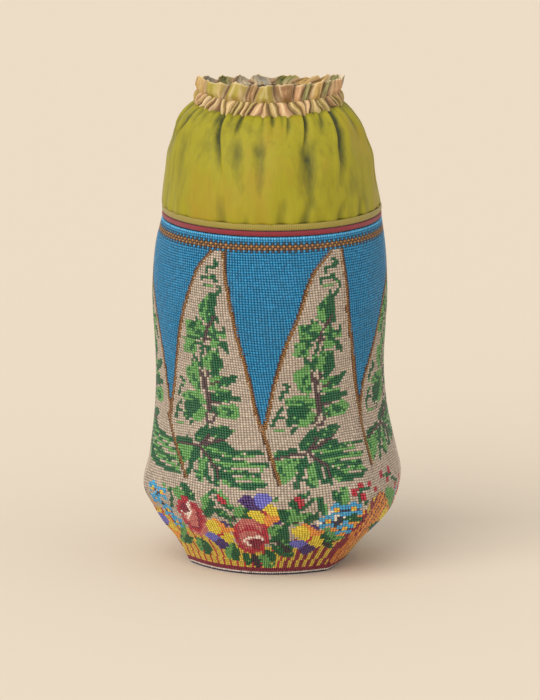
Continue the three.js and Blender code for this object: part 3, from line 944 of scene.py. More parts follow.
class Strand:
    """A shader value. Arithmetic on it adds Math nodes, and node adds any other node."""

    def __init__(self, tree, socket=None):
        self.tree = tree
        self.socket = socket

    def node(self, kind, settings=None, sockets=None, output=0):
        node = self.tree.nodes.new(kind)
        for key, value in (settings or {}).items():
            setattr(node, key, value)
        for key, value in (sockets or {}).items():
            if isinstance(value, Strand):
                self.tree.links.new(value.socket, node.inputs[key])
            else:
                node.inputs[key].default_value = value
        return Strand(self.tree, node.outputs[output] if node.outputs else None)

    def math(self, operation, first, second=0.0):
        return self.node("ShaderNodeMath", {"operation": operation}, {0: first, 1: second})

    def __add__(self, other):
        return self.math("ADD", self, other)

    def __sub__(self, other):
        return self.math("SUBTRACT", self, other)

    def __rsub__(self, other):
        return self.math("SUBTRACT", other, self)

    def __mul__(self, other):
        return self.math("MULTIPLY", self, other)

    def wave(self):
        return self.math("SINE", self)

    def limit(self):
        return self.node("ShaderNodeClamp", None, {"Value": self})

    def tint(self, share, colour):
        """This colour mixed towards another by a share."""
        return self.node("ShaderNodeMix", {"data_type": "RGBA"}, {0: share, 6: self, 7: solid(colour)}, 2)


def solid(colour):
    return (*colour, 1.0)


def new_material(name):
    """An empty material, its tree's starting strand and a function that closes it with a surface."""
    material = bpy.data.materials.new(name)
    material.use_nodes = True
    tree = material.node_tree
    tree.nodes.clear()
    start = Strand(tree)

    def close(sockets):
        surface = start.node("ShaderNodeBsdfPrincipled", None, sockets)
        start.node("ShaderNodeOutputMaterial", None, {"Surface": surface})
        return material

    return start, close


def plain(start, colour):
    strand = start.node("ShaderNodeRGB")
    strand.socket.default_value = solid(colour)
    return strand


def darker(colour, share):
    return [share * part for part in colour]


def attribute(start, name, output="Fac"):
    return start.node("ShaderNodeAttribute", {"attribute_name": name}, None, output)


def noise(start, vector, scale, detail=3.0, roughness=0.55):
    sockets = {"Vector": vector, "Scale": scale, "Detail": detail, "Roughness": roughness}
    return start.node("ShaderNodeTexNoise", None, sockets)


def object_place(start):
    return start.node("ShaderNodeTexCoord", None, None, "Object")


def stretched(start, vector, scale):
    return start.node("ShaderNodeMapping", None, {"Vector": vector, "Scale": scale})


def bump(start, height, distance, strength):
    sockets = {"Height": height, "Distance": distance, "Strength": strength}
    return start.node("ShaderNodeBump", None, sockets)


def cloth_map(start):
    """The two directions of the cloth's own map."""
    cloth = start.node("ShaderNodeUVMap", {"uv_map": "cloth"})
    parts = start.node("ShaderNodeSeparateXYZ", None, {"Vector": cloth}).socket.node
    return Strand(start.tree, parts.outputs[0]), Strand(start.tree, parts.outputs[1])


def weave(start):
    """Fine plain weave as a height."""
    across, along = cloth_map(start)
    return (across * WEAVE).wave() * (along * WEAVE).wave()


def bead_glass(name):
    """Glass seed beads, each with its own tone and a painted highlight on its peak, a little clouded with
    age.
    """
    start, close = new_material(name)
    cloud = noise(start, object_place(start), 60.0)
    return close(
        {
            "Base Color": attribute(start, "bead_tone", "Color").tint(cloud * 0.04, (0.42, 0.36, 0.3)),
            "Roughness": 0.3,
            "Specular IOR Level": 0.35,
            "Coat Weight": 0.12,
            "Coat Roughness": 0.2,
        }
    )


def knitted_thread(name):
    """The thread between the beads, in their tones and lighter, as painted light that lifts the shade
    between them.
    """
    start, close = new_material(name)
    fuzz = noise(start, object_place(start), 1800.0)
    return close(
        {
            "Base Color": attribute(start, "knit_tone", "Color").tint(fuzz * 0.3, (0.06, 0.05, 0.05)),
            "Roughness": 0.85,
            "Normal": bump(start, fuzz, 0.0004, 0.6),
        }
    )


def gathered_silk(name, colours):
    """Silk with painted shade in its folds, strokes and blotches, painted golden highlights in patches, and
    a soft sheen.
    """
    start, close = new_material(name)
    place = object_place(start)
    washes = noise(start, stretched(start, place, (1.0, 1.0, 0.4)), 44.0, 4.0, 0.6)
    strokes = noise(start, stretched(start, place, (1.0, 1.0, 0.22)), 150.0, 3.0, 0.6)
    streaks = noise(start, stretched(start, place, (1.0, 1.0, 0.12)), 520.0, 2.0)
    # High washes paint golden highlights and low ones blotches of shade; the strokes paint streaks of
    # shade.
    golden = ((washes - 0.5) * 4.0).limit()
    highlighted = plain(start, colours.silk).tint(golden * 0.75, colours.silk_glow)
    dark = attribute(start, "fold") + (0.5 - washes) * 1.2 + (strokes - 0.52) * 1.4
    shaded = highlighted.tint(dark.limit(), colours.silk_shade)
    return close(
        {
            "Base Color": shaded.tint(streaks * 0.2, colours.silk_shade),
            "Roughness": 0.55 - streaks * 0.1,
            "Specular IOR Level": 0.3,
            "Sheen Weight": 0.06,
            "Sheen Roughness": 0.4,
            "Normal": bump(start, weave(start) * 0.4 + streaks, 0.0002, 0.4),
        }
    )


def faded_silk(name, colours, creasing):
    """Shot silk in patches of salmon and olive, with painted shade in its creases and in dark streaks along
    the folds over a fine bump, and painted cream highlights on the folds' edges.
    """
    start, close = new_material(name)
    place = object_place(start)
    patches = noise(start, place, 170.0, 2.0)
    streaks = noise(start, stretched(start, place, (1.0, 1.0, 0.12)), 800.0, 2.0)
    tone = attribute(start, "silk_tone", "Color")
    tone = tone.tint(((patches - 0.5) * 4.0).limit() * 0.5, colours.salmon)
    tone = tone.tint(((0.42 - patches) * 5.0).limit() * 0.5, colours.olive)
    # Painted shade: the dark streaks, and the crease colour where ridge is low, as far as creasing gives.
    # Painted highlight: cream where rim is high.
    tone = tone.tint(((streaks - 0.5) * 3.0).limit() * 0.5, colours.crease)
    tone = tone.tint(attribute(start, "rim").limit(), colours.cream)
    tone = tone.tint(((1.0 - attribute(start, "ridge")) * creasing).limit(), colours.crease)
    return close(
        {
            "Base Color": tone,
            "Roughness": 0.6,
            "Specular IOR Level": 0.3,
            "Sheen Weight": 0.1,
            "Sheen Roughness": 0.4,
            "Normal": bump(start, streaks + weave(start) * 0.3, 0.0002, 0.4),
        }
    )


def ribbed_band(name, colour, ribs, dark):
    """A flat band with fine ribs across it."""
    start, close = new_material(name)
    rib = (cloth_map(start)[0] * ribs).wave() * 0.5 + 0.5
    wear = noise(start, object_place(start), 160.0, 3.0)
    shade = ((1.0 - rib) * 0.45 + (wear - 0.45) * 0.8).limit()
    return close(
        {
            "Base Color": plain(start, colour).tint(shade, darker(colour, dark)),
            "Roughness": 0.6,
            "Sheen Weight": 0.2,
            "Normal": bump(start, rib, 0.0003, 0.6),
        }
    )


def base_knitting(name, colour):
    """Rounds of knitting under the base."""
    start, close = new_material(name)
    place = object_place(start)
    offset = (-CENTRE_X * MM, 0.0, 0.0)
    middle = start.node("ShaderNodeMapping", None, {"Vector": place, "Location": offset})
    rounds = start.node("ShaderNodeVectorMath", {"operation": "LENGTH"}, {0: middle}, "Value")
    ring = (rounds * (TURN / BASE_ROUND)).wave() * 0.5 + 0.5
    shade = ((1.0 - ring) * 0.7 + noise(start, place, 900.0) * 0.3).limit()
    toned = plain(start, colour).tint(shade, darker(colour, 0.3))
    return close({"Base Color": toned, "Roughness": 0.6, "Normal": bump(start, ring, 0.0004, 0.7)})


def finish_piece(piece, material, slot, replaces=None):
    """Shades a piece smooth, gives it its material and its place in the frame."""
    piece.data.materials.append(material)
    piece.data.polygons.foreach_set("use_smooth", np.ones(len(piece.data.polygons), bool))
    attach(piece, "root")
    if replaces:
        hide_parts(replaces)


def link_mesh(name, mesh):
    piece = bpy.data.objects.new(name, mesh)
    bpy.context.scene.collection.objects.link(piece)
    return piece


def cloth_ring(name, grid, place, flat):
    """A ring of cloth: a grid rolled up on a surface and closed at its seam.

    grid is how many faces it has round and up. place takes the share round and the share up of every
    point, and gives points in millimetres and the attributes that belong to them. flat is the size of
    the cloth, for its own map.
    """
    bm = bmesh.new()
    cloth = bm.loops.layers.uv.new("cloth")
    bmesh.ops.create_grid(bm, x_segments=grid[0], y_segments=grid[1], size=0.5)
    bm.verts.ensure_lookup_table()
    shares = np.array([vertex.co[:2] for vertex in bm.verts]) + 0.5
    for face in bm.faces:
        for loop in face.loops:
            share = shares[loop.vert.index]
            loop[cloth].uv = (share[0] * flat[0], share[1] * flat[1])
    round_share = np.where(shares[:, 0] > 1 - 0.5 / grid[0], 0.0, shares[:, 0])
    points, values = place(round_share, shares[:, 1])
    layers = {}
    for key, value in values.items():
        kinds = bm.verts.layers.float_color if value.ndim == 2 else bm.verts.layers.float
        layers[key] = kinds.new(key)
    for index, vertex in enumerate(bm.verts):
        vertex.co = Vector(points[index]) * MM
        for key, layer in layers.items():
            value = values[key][index]
            vertex[layer] = (*value, 1.0) if np.ndim(value) else value
    bmesh.ops.remove_doubles(bm, verts=bm.verts, dist=1e-6)
    bmesh.ops.recalc_face_normals(bm, faces=bm.faces)
    outward = sum(face.normal.x * face.calc_center_median().x for face in bm.faces)
    if outward < 0:
        bmesh.ops.reverse_faces(bm, faces=bm.faces)
    mesh = bpy.data.meshes.new(name)
    bm.to_mesh(mesh)
    bm.free()
    return link_mesh(name, mesh)


def thicken(piece, thickness, inner_material=0):
    """Gives cloth its thickness inwards from its outer face."""
    wall = piece.modifiers.new("Thickness", "SOLIDIFY")
    wall.thickness = thickness
    wall.offset = -1.0
    wall.material_offset = inner_material


class BeadChart:
    """The tone of every bead, by row down from the binding and by column round from the front."""

    def __init__(self, rows, columns):
        self.columns = columns
        self.tone = np.full((rows, columns), TONE_NAMES.index("blue"))
        self.row, self.column = np.mgrid[0:rows, 0:columns] + 0.5
        self.column = np.mod(self.column + COLUMN_LEAN * self.row, columns)

    def across(self, column):
        """Columns from a place to every bead, the short way round."""
        half = self.columns / 2
        return np.mod(self.column - column + half, self.columns) - half

    def paint(self, tone, where):
        self.tone[where] = TONE_NAMES.index(tone)

    def draw(self, tone, width, points):
        """A line of beads through (column, row) points, or a filled outline where the width is 0."""
        if width:
            self.stroke(tone, width, points)
            return
        across = self.across(points[0][0]) + points[0][0]
        inside = np.zeros(self.tone.shape, bool)
        for (column, row), (to_column, to_row) in zip(points, (*points[1:], points[0])):
            if row == to_row:
                continue
            crossing = column + (to_column - column) * (self.row - row) / (to_row - row)
            inside ^= ((row > self.row) != (to_row > self.row)) & (across < crossing)
        self.paint(tone, inside)
        self.stroke(tone, OUTLINE, (*points, points[0]))

    def stroke(self, tone, width, points):
        hit = np.zeros(self.tone.shape, bool)
        for (column, row), (to_column, to_row) in zip(points, points[1:]):
            across = self.across(column)
            down = self.row - row
            run = to_column - column
            fall = to_row - row
            share = np.clip((across * run + down * fall) / (run * run + fall * fall), 0, 1)
            hit |= np.hypot(across - share * run, down - share * fall) <= width / 2
        self.paint(tone, hit)

    def dot(self, tone, column, row):
        """A berry or a dot, two beads by three."""
        near = np.abs(self.across(column)) < DOT_REACH[0]
        self.paint(tone, near & (np.abs(self.row - row) < DOT_REACH[1]))

    def flower(self, lines, place, size, lean, widen):
        """A flower charted bead by bead, laid over the beads round a place."""
        down = self.row - place[1]
        across = (self.across(place[0]) - lean * down) / (size[0] * (1 + widen * down))
        line = np.floor((down / size[1] + 0.5) * len(lines)).astype(int)
        mark = np.floor((across + 0.5) * len(lines[0])).astype(int)
        inside = (line >= 0) & (line < len(lines)) & (mark >= 0) & (mark < len(lines[0]))
        tones = {letter: TONE_NAMES.index(name) for letter, name in TONE_LETTERS.items()}
        chart = np.array([[tones.get(letter, -1) for letter in text] for text in lines])
        charted = chart[line[inside], mark[inside]]
        self.tone[inside] = np.where(charted < 0, self.tone[inside], charted)


def paint_top_bands(chart):
    """A sky blue round, and a twist of gilt and brown between two toothed dark rounds."""

    def rounds(band):
        return (chart.row > band[0]) & (chart.row < band[1])

    teeth = np.mod(chart.column - COLUMN_LEAN * chart.row, 2) < 1
    chart.paint("sky", rounds(SKY_ROUND))
    chart.paint("black", (rounds(UPPER_TEETH) | rounds(LOWER_TEETH)) & teeth)
    chart.paint("gilt", rounds(ROPE))
    chart.paint("brown", rounds(ROPE) & (teeth == (chart.row > ROPE[0] + 1)))


def panel_edges():
    """The panels' edges and the lines below them: rows, columns and the side that the panel is on."""
    rows = np.arange(PANEL_TIP_ROW, PANEL_FOOT_ROW, EDGE_DETAIL)
    for panel in PANELS:
        for edge, side in zip(PANEL_EDGES[panel["edges"]], (1, -1)):
            yield rows, panel["start"] + np.interp(rows, PANEL_ROWS, edge), side
        below = np.arange(PANEL_FOOT_ROW - SEAM_RISE, panel["ends"], EDGE_DETAIL)
        share = (below - PANEL_FOOT_ROW) / (SEAM_FOOT_ROW - PANEL_FOOT_ROW)
        yield below, panel["start"] + panel["lean"] * share, 1


def paint_panels(chart):
    """Pale leaf panels that widen down to the foot. Beads under the panels' edge lines are brown."""
    chart.paint("pale", chart.row >= PANEL_FOOT_ROW)
    for panel in PANELS:
        left, right = (np.interp(chart.row, PANEL_ROWS, edge) for edge in PANEL_EDGES[panel["edges"]])
        inside = np.mod(chart.column - panel["start"], chart.columns)
        within = (inside > left) & (inside < right)
        chart.paint("pale", within & (chart.row > PANEL_TIP_ROW) & (chart.row < PANEL_FOOT_ROW))
    for rows, columns, _ in panel_edges():
        along = (chart.row >= rows[0]) & (chart.row <= rows[-1])
        near = np.abs(chart.across(np.interp(chart.row, rows, columns))) < EDGE_REACH
        chart.paint("brown", along & near)


def panel_middle(kind, row):
    """The column half way between a panel's edges."""
    return sum(np.interp(row, PANEL_ROWS, edge) for edge in PANEL_EDGES[kind]) / 2


def spray_point(panel, column, row):
    """A point of the spray, moved with the middle of its panel. The low blades spread and droop."""
    low = min(max((row - PANEL_FOOT_ROW) / LOW_ROWS, 0), 1)
    drift = panel_middle(panel["edges"], row) - panel_middle("leaning", row)
    aside = panel["shift"] + panel["follow"] * drift
    aside += low * (panel["spread"] * max(column - BLADE_COLUMN, 0) + panel["slide"])
    down = panel["droop"] * low * (column - panel["pivot"]) - panel["lift"]
    return panel["start"] + column + aside, row + down


def paint_sprays(chart):
    """Leaf sprays inside the panels. The blue ground and the panels' edges stay as they are."""
    before = chart.tone.copy()
    for panel in PANELS:
        for tone, width, points in SPRAY:
            chart.draw(tone, width, [spray_point(panel, column, row) for column, row in points])
    outside = np.isin(before, [TONE_NAMES.index(name) for name in ("blue", "brown")])
    chart.tone[outside] = before[outside]


def mottle_leaves(chart):
    """Single beads of the other green strewn through the leaves, as the knitter mixed them."""
    strewn = np.random.default_rng(MOTTLE_SEED).random(chart.tone.shape)
    greens = [(chart.tone == TONE_NAMES.index(name)) & (strewn < share) for name, share in MOTTLE.items()]
    for where, other in zip(greens, reversed(MOTTLE)):
        chart.paint(other, where)


def paint_foot(chart):
    """Gold and dark red stripes from the garland down to the base, and others beside the crease."""
    place = np.mod(chart.column + GARLAND_COLUMNS / 2, GARLAND_COLUMNS) - GARLAND_COLUMNS / 2
    foot = chart.row > np.interp(place, FOOT_EDGE["column"], FOOT_EDGE["row"])
    stripe = np.mod(place, FOOT_STRIPE)
    left = place < FOOT_BROAD_COLUMN
    chart.paint("gold", foot)
    chart.paint("crimson", foot & left & (stripe > FOOT_STRIPE - FOOT_NARROW))
    chart.paint("maroon", foot & ~left & (stripe > FOOT_STRIPE - FOOT_BROAD))
    beyond = place - np.interp(chart.row, CREASE["row"], CREASE["column"])
    start = 0.0
    for tone, end in CREASE_STRIPES:
        chart.paint(tone, foot & (beyond > start) & (beyond <= end))
        start = end


def paint_garland(chart):
    for start in range(0, chart.columns, GARLAND_COLUMNS):
        for tone, width, points in GARLAND:
            chart.draw(tone, width, [(start + column, row) for column, row in points])
        for tone, places in GARLAND_DOTS:
            for column, row in places:
                chart.dot(tone, start + column, row)
        for flower, (column, row), size, lean, widen in FLOWER_PLACES:
            chart.flower(FLOWERS[flower], (start + column, row), size, lean, widen)
    chart.paint("maroon", chart.row > FOOT_EDGE_ROW)


def bead_rows(pitch):
    """Heights of the bead rounds, evenly along the wall's profile from the binding to the base."""
    heights = np.linspace(BODY_TOP, BODY_BOTTOM, PROFILE_POINTS)
    widths = column_value(BODY_SECTIONS, "half_width", heights)
    run = np.concatenate([[0], np.cumsum(np.hypot(np.diff(heights), np.diff(widths)))])
    count = int(run[-1] * MM / pitch)
    return np.interp((np.arange(count) + 0.5) * run[-1] / count, run, heights)


def make_chart():
    sizes = bpy.context.scene.bag_beads
    rows = bead_rows(sizes.pitch)
    chart = BeadChart(len(rows), sizes.columns)
    paint_panels(chart)
    paint_top_bands(chart)
    paint_sprays(chart)
    paint_foot(chart)
    paint_garland(chart)
    mottle_leaves(chart)
    return chart, rows


def tone_table():
    colours = bpy.context.scene.bag_colours
    return np.array([list(getattr(colours, name)) for name in TONE_NAMES])


def bead_shape():
    """One bead as points and faces: a closed cushion, square where it meets others and round above."""
    bm = bmesh.new()
    bmesh.ops.create_circle(bm, cap_ends=True, segments=4, radius=math.sqrt(2))
    eighth = Matrix.Rotation(TURN / 8, 3, "Z")
    bmesh.ops.rotate(bm, verts=bm.verts, matrix=eighth)
    dome = bmesh.ops.extrude_face_region(bm, geom=bm.faces[:], use_keep_orig=True)["geom"]
    ring = [part for part in dome if isinstance(part, bmesh.types.BMVert)]
    bmesh.ops.rotate(bm, verts=ring, matrix=eighth)
    bmesh.ops.scale(bm, verts=ring, vec=(DOME_WIDTH, DOME_WIDTH, 1.0))
    bmesh.ops.translate(bm, verts=ring, vec=(0.0, 0.0, DOME_RING))
    cap = [part for part in dome if isinstance(part, bmesh.types.BMFace)]
    peak = bmesh.ops.poke(bm, faces=cap)["verts"]
    bmesh.ops.translate(bm, verts=peak, vec=(0.0, 0.0, 1.0 - DOME_RING))
    bmesh.ops.triangulate(bm, faces=bm.faces[:], quad_method="SHORT_EDGE")
    bmesh.ops.recalc_face_normals(bm, faces=bm.faces)
    bm.verts.index_update()
    points = np.array([vertex.co[:] for vertex in bm.verts])
    faces = [[vertex.index for vertex in face.verts] for face in bm.faces]
    bm.free()
    return points, faces


def bead_mesh(name, centres, across, down, out, tones):
    """One mesh of many beads.

    across and down are each bead's half sizes along the knitting, as vectors, and out is its bulge.
    """
    points, faces = bead_shape()
    count = len(centres)
    each = len(points)
    spread = (
        centres[:, None]
        + points[None, :, :1] * across[:, None]
        + points[None, :, 1:2] * down[:, None]
        + (points[None, :, 2:] * (1 + BEAD_SINK) - BEAD_SINK) * out[:, None]
    )
    loops = np.concatenate([np.array(face) for face in faces])
    sizes = np.array([len(face) for face in faces])
    all_loops = (loops[None] + np.arange(count)[:, None] * each).ravel()
    all_sizes = np.tile(sizes, count)
    mesh = bpy.data.meshes.new(name)
    mesh.vertices.add(count * each)
    mesh.vertices.foreach_set("co", (spread * MM).ravel().astype(np.float32))
    mesh.loops.add(len(all_loops))
    mesh.loops.foreach_set("vertex_index", all_loops.astype(np.int32))
    mesh.polygons.add(len(all_sizes))
    starts = np.concatenate([[0], np.cumsum(all_sizes)[:-1]])
    mesh.polygons.foreach_set("loop_start", starts.astype(np.int32))
    mesh.update(calc_edges=True)

    # Each bead's colour carries a painted highlight at its peak.
    levels = (0.0, DOME_RING, 1.0)
    lit = np.interp(points[:, 2], levels, (1.0, 1.0, PEAK_LIGHT))
    shine = np.interp(points[:, 2], levels, (0.0, 0.0, PEAK_SHINE))
    colour = np.ones((count, each, 4), np.float32)
    colour[..., :3] = np.clip(tones[:, None] * lit[None, :, None], 0, 1)
    colour[..., :3] += (1.0 - colour[..., :3]) * shine[None, :, None]
    layer = mesh.attributes.new("bead_tone", "FLOAT_COLOR", "POINT")
    layer.data.foreach_set("color", colour.ravel())

    # Every bead has a cell of its own in the OFBake map.
    cells = math.ceil(math.sqrt(count))
    cell = np.stack([np.arange(count) % cells, np.arange(count) // cells], -1) + 0.5
    spot = points[:, :2] * np.interp(points[:, 2], levels, BAKE_REACH)[:, None]
    mapped = (cell[:, None] + spot[None])[:, loops] / cells
    under = np.repeat([not points[face, 2].any() for face in faces], sizes)
    mapped[:, under] = (cell[:, None] + points[loops[under], :2][None] * BAKE_UNDER) / cells
    bake = mesh.uv_layers.new(name="OFBake")
    bake.data.foreach_set("uv", mapped.ravel().astype(np.float32))
    return mesh


def wall_frame(angle, height, out):
    """Places on the beaded wall with their steps round and down it and the way out of it."""
    step = 1e-3
    rise = 0.05
    place = body_point(angle, height, out)
    round_step = body_point(angle + step, height, out) - body_point(angle - step, height, out)
    round_step /= 2 * step
    fall = body_point(angle, height - rise, out) - body_point(angle, height + rise, out)
    fall /= np.linalg.norm(fall, axis=-1, keepdims=True)
    outwards = np.cross(round_step, -fall)
    outwards /= np.linalg.norm(outwards, axis=-1, keepdims=True)
    return place, round_step, fall, outwards


def make_beads(name, angle, height, tone, row_pitch, columns, out, material, seed, wander=WANDER):
    """A piece of knitted beads, each a little out of place and off its tone."""
    sizes = bpy.context.scene.bag_beads
    rng = np.random.default_rng(seed)
    # Rounds and columns run in gentle waves, as hand knitting does.
    angle = angle + wander * TURN / columns * np.sin(7 * angle + height / 11)
    wave = np.sin(9 * angle - height / 17) * np.sin(math.pi * height / BODY_TOP)
    height = height + wander * row_pitch * wave
    place, round_step, fall, outwards = wall_frame(angle, height, out)
    half = round_step * (TURN / columns * BEAD_ACROSS)
    stray = rng.normal(0.0, sizes.unevenness, (len(angle), 3))
    size = 1.0 + rng.normal(0.0, sizes.unevenness, (len(angle), 1))
    down = fall * (row_pitch * BEAD_DOWN)
    bulge = outwards * (sizes.bulge / MM)
    centre = place + half * stray[:, :1] + down * stray[:, 1:2]
    light = np.clip(1.0 + rng.normal(0.0, TONE_SPREAD, (len(angle), 1)), *TONE_LIMITS)
    tones = np.clip(tone_table()[tone] * light, 0, 1)
    mesh = bead_mesh(name, centre, half * size, down * size, bulge * size, tones)
    finish_piece(link_mesh(name, mesh), material, "beadwork")


class BAG_OT_stage(bpy.types.Operator):
    """Pale floor, soft light and the camera"""

    bl_idname = "bag.stage"
    bl_label = "Stage"

    def execute(self, context):
        settings = context.scene.bag_stage
        self.make_floor(settings)
        self.make_light(context)
        self.make_camera(context, settings)
        return {"FINISHED"}

    def make_floor(self, settings):
        bm = bmesh.new()
        bmesh.ops.create_grid(bm, x_segments=1, y_segments=1, size=HALF_FLOOR)
        mesh = bpy.data.meshes.new("floor")
        bm.to_mesh(mesh)
        bm.free()
        floor = link_mesh("floor", mesh)
        start, close = new_material("floor_paper")
        grain = noise(start, object_place(start), 60.0)
        toned = plain(start, settings.floor).tint(grain * 0.06, darker(settings.floor, 0.8))
        floor.data.materials.append(close({"Base Color": toned, "Roughness": 0.9}))

    def make_light(self, context):
        world = context.scene.world or bpy.data.worlds.new("studio")
        context.scene.world = world
        world.use_nodes = True
        sky = world.node_tree.nodes["Background"]
        sky.inputs["Color"].default_value = solid(WARM_WHITE)
        sky.inputs["Strength"].default_value = SKY_STRENGTH
        for name, towards, power, spread in LAMPS:
            lamp = bpy.data.lights.new(name, "SUN")
            lamp.energy = power
            lamp.angle = math.radians(spread)
            lamp.color = WARM_WHITE
            holder = bpy.data.objects.new(name, lamp)
            holder.matrix_world = Vector(towards).to_track_quat("Z", "Y").to_matrix().to_4x4()
            context.scene.collection.objects.link(holder)
        context.scene.view_settings.view_transform = "Standard"

    def make_camera(self, context, settings):
        lens = bpy.data.cameras.new("camera")
        lens.sensor_fit = "VERTICAL"
        lens.sensor_height = SENSOR
        lens.lens = SENSOR * settings.distance / settings.picture_height
        lens.clip_end = SIGHT
        camera = bpy.data.objects.new("camera", lens)
        target = Vector((CENTRE_X * MM, CENTRE_Y * MM, VIEW_HEIGHT))
        back = Vector((0.0, -math.cos(settings.elevation), math.sin(settings.elevation)))
        place = Matrix.Translation(target + back * settings.distance)
        camera.matrix_world = place @ Matrix.Rotation(math.pi / 2 - settings.elevation, 4, "X")
        context.scene.collection.objects.link(camera)
        context.scene.camera = camera


class BAG_OT_knitting(bpy.types.Operator):
    """Knitted ground that carries the beads"""

    bl_idname = "bag.knitting"
    bl_label = "Knitted ground"

    def execute(self, context):
        sizes = context.scene.bag_beads
        chart, rows = make_chart()
        outer = HALF_WALL - sizes.bulge / MM
        grid = (sizes.columns // 2, len(rows) // 2)

        def place(share, rise):
            height = np.interp(rise * (len(rows) - 1), np.arange(len(rows)), rows[::-1])
            height = np.where(rise <= 0, BODY_BOTTOM, np.where(rise >= 1, BODY_TOP, height))
            return body_point(share * TURN, height, outer), {}

        length = len(rows) * sizes.pitch
        width = sizes.columns * sizes.pitch * KNIT_STRETCH
        piece = cloth_ring("knitted_ground", grid, place, (width, length))
        self.colour(piece, chart, rows)
        thicken(piece, sizes.knitting)
        finish_piece(piece, knitted_thread("knitted_thread"), "beadwork", "beaded_body")
        return {"FINISHED"}

    def colour(self, piece, chart, rows):
        points = np.empty(len(piece.data.vertices) * 3)
        piece.data.vertices.foreach_get("co", points)
        points = points.reshape(-1, 3) / MM
        row = np.searchsorted(-rows, -points[:, 2]).clip(0, len(rows) - 1)
        angle = np.arctan2(points[:, 0] - CENTRE_X, -(points[:, 1] - CENTRE_Y))
        column = np.floor(angle / TURN * chart.columns - COLUMN_LEAN * (row + 0.5)).astype(int)
        tone = chart.tone[row, column % chart.columns]
        colour = np.ones((len(points), 4), np.float32)
        # The thread takes the tone of the beads on it, lightened as painted light against the shade between
        # the beads.
        colour[:, :3] = (tone_table() * THREAD_PAINTED_LIGHT)[tone]
        layer = piece.data.attributes.new("knit_tone", "FLOAT_COLOR", "POINT")
        layer.data.foreach_set("color", colour.ravel())


class BAG_OT_beads(bpy.types.Operator):
    """Glass beads of the body, a piece for every part of the pattern"""

    bl_idname = "bag.beads"
    bl_label = "Beads"

    def execute(self, context):
        sizes = context.scene.bag_beads
        chart, rows = make_chart()
        angle = chart.column / chart.columns * TURN
        height = np.repeat(rows[:, None], chart.columns, 1)
        row_pitch = sizes.pitch / MM
        out = HALF_WALL - sizes.bulge / MM

        def has(*names):
            return np.isin(chart.tone, [TONE_NAMES.index(name) for name in names])

        upper = chart.row < SEAM_FOOT_ROW
        parts = {
            "top_band_beads": chart.row < TOP_BAND_ROWS,
            "blue_ground_beads": has("blue") & upper,
            "panel_ground_beads": has("pale") & upper,
            "leaf_spray_beads": has("leaf", "new_leaf", "stem") & upper,
            "garland_ground_beads": has("pale", "white"),
            "garland_leaf_beads": has("leaf", "new_leaf", "stem", "black"),
            "foot_stripe_beads": has("gold", "gilt", "amber", "maroon", "brown"),
            "garland_flower_beads": np.ones(chart.tone.shape, bool),
        }
        glass = bead_glass("bead_glass")
        left = ~(has("brown") & upper & (chart.row > PANEL_TIP_ROW))
        for seed, (name, where) in enumerate(parts.items(), FIRST_BEAD_SEED):
            where = where & left
            left &= ~where
            beads = angle[where], height[where], chart.tone[where]
            make_beads(name, *beads, row_pitch, chart.columns, out, glass, seed)
        self.make_edges(rows, chart.columns, row_pitch, out, glass)
        return {"FINISHED"}

    def make_edges(self, rows, columns, row_pitch, out, glass):
        """Three lines of small beads along every panel edge, a gilt twist and a brown line outside it."""
        places = []
        tones = []
        for line_rows, line_columns, side in panel_edges():
            steps = np.hypot(np.diff(line_rows), np.diff(line_columns))
            run = np.concatenate([[0], np.cumsum(steps)])
            along = np.arange(EDGE_START, run[-1], EDGE_STEP)
            row = np.interp(along, run, line_rows)
            column = np.interp(along, run, line_columns)
            way = np.stack([np.gradient(row), -np.gradient(column)], -1)
            way /= np.linalg.norm(way, axis=-1, keepdims=True)
            for offset, beads in EDGE_LINES:
                places.append(np.stack([column, row], -1) + offset * side * way)
                tones.append(np.resize([TONE_NAMES.index(name) for name in beads], len(row)))
        column, row = np.concatenate(places).T
        height = np.interp(row, np.arange(len(rows)) + 0.5, rows)
        beads = column / columns * TURN, height, np.concatenate(tones)
        knit = row_pitch * EDGE_BEAD, columns / EDGE_BEAD, out + EDGE_RISE
        make_beads("panel_edge_beads", *beads, *knit, glass, EDGE_SEED, EDGE_WANDER)


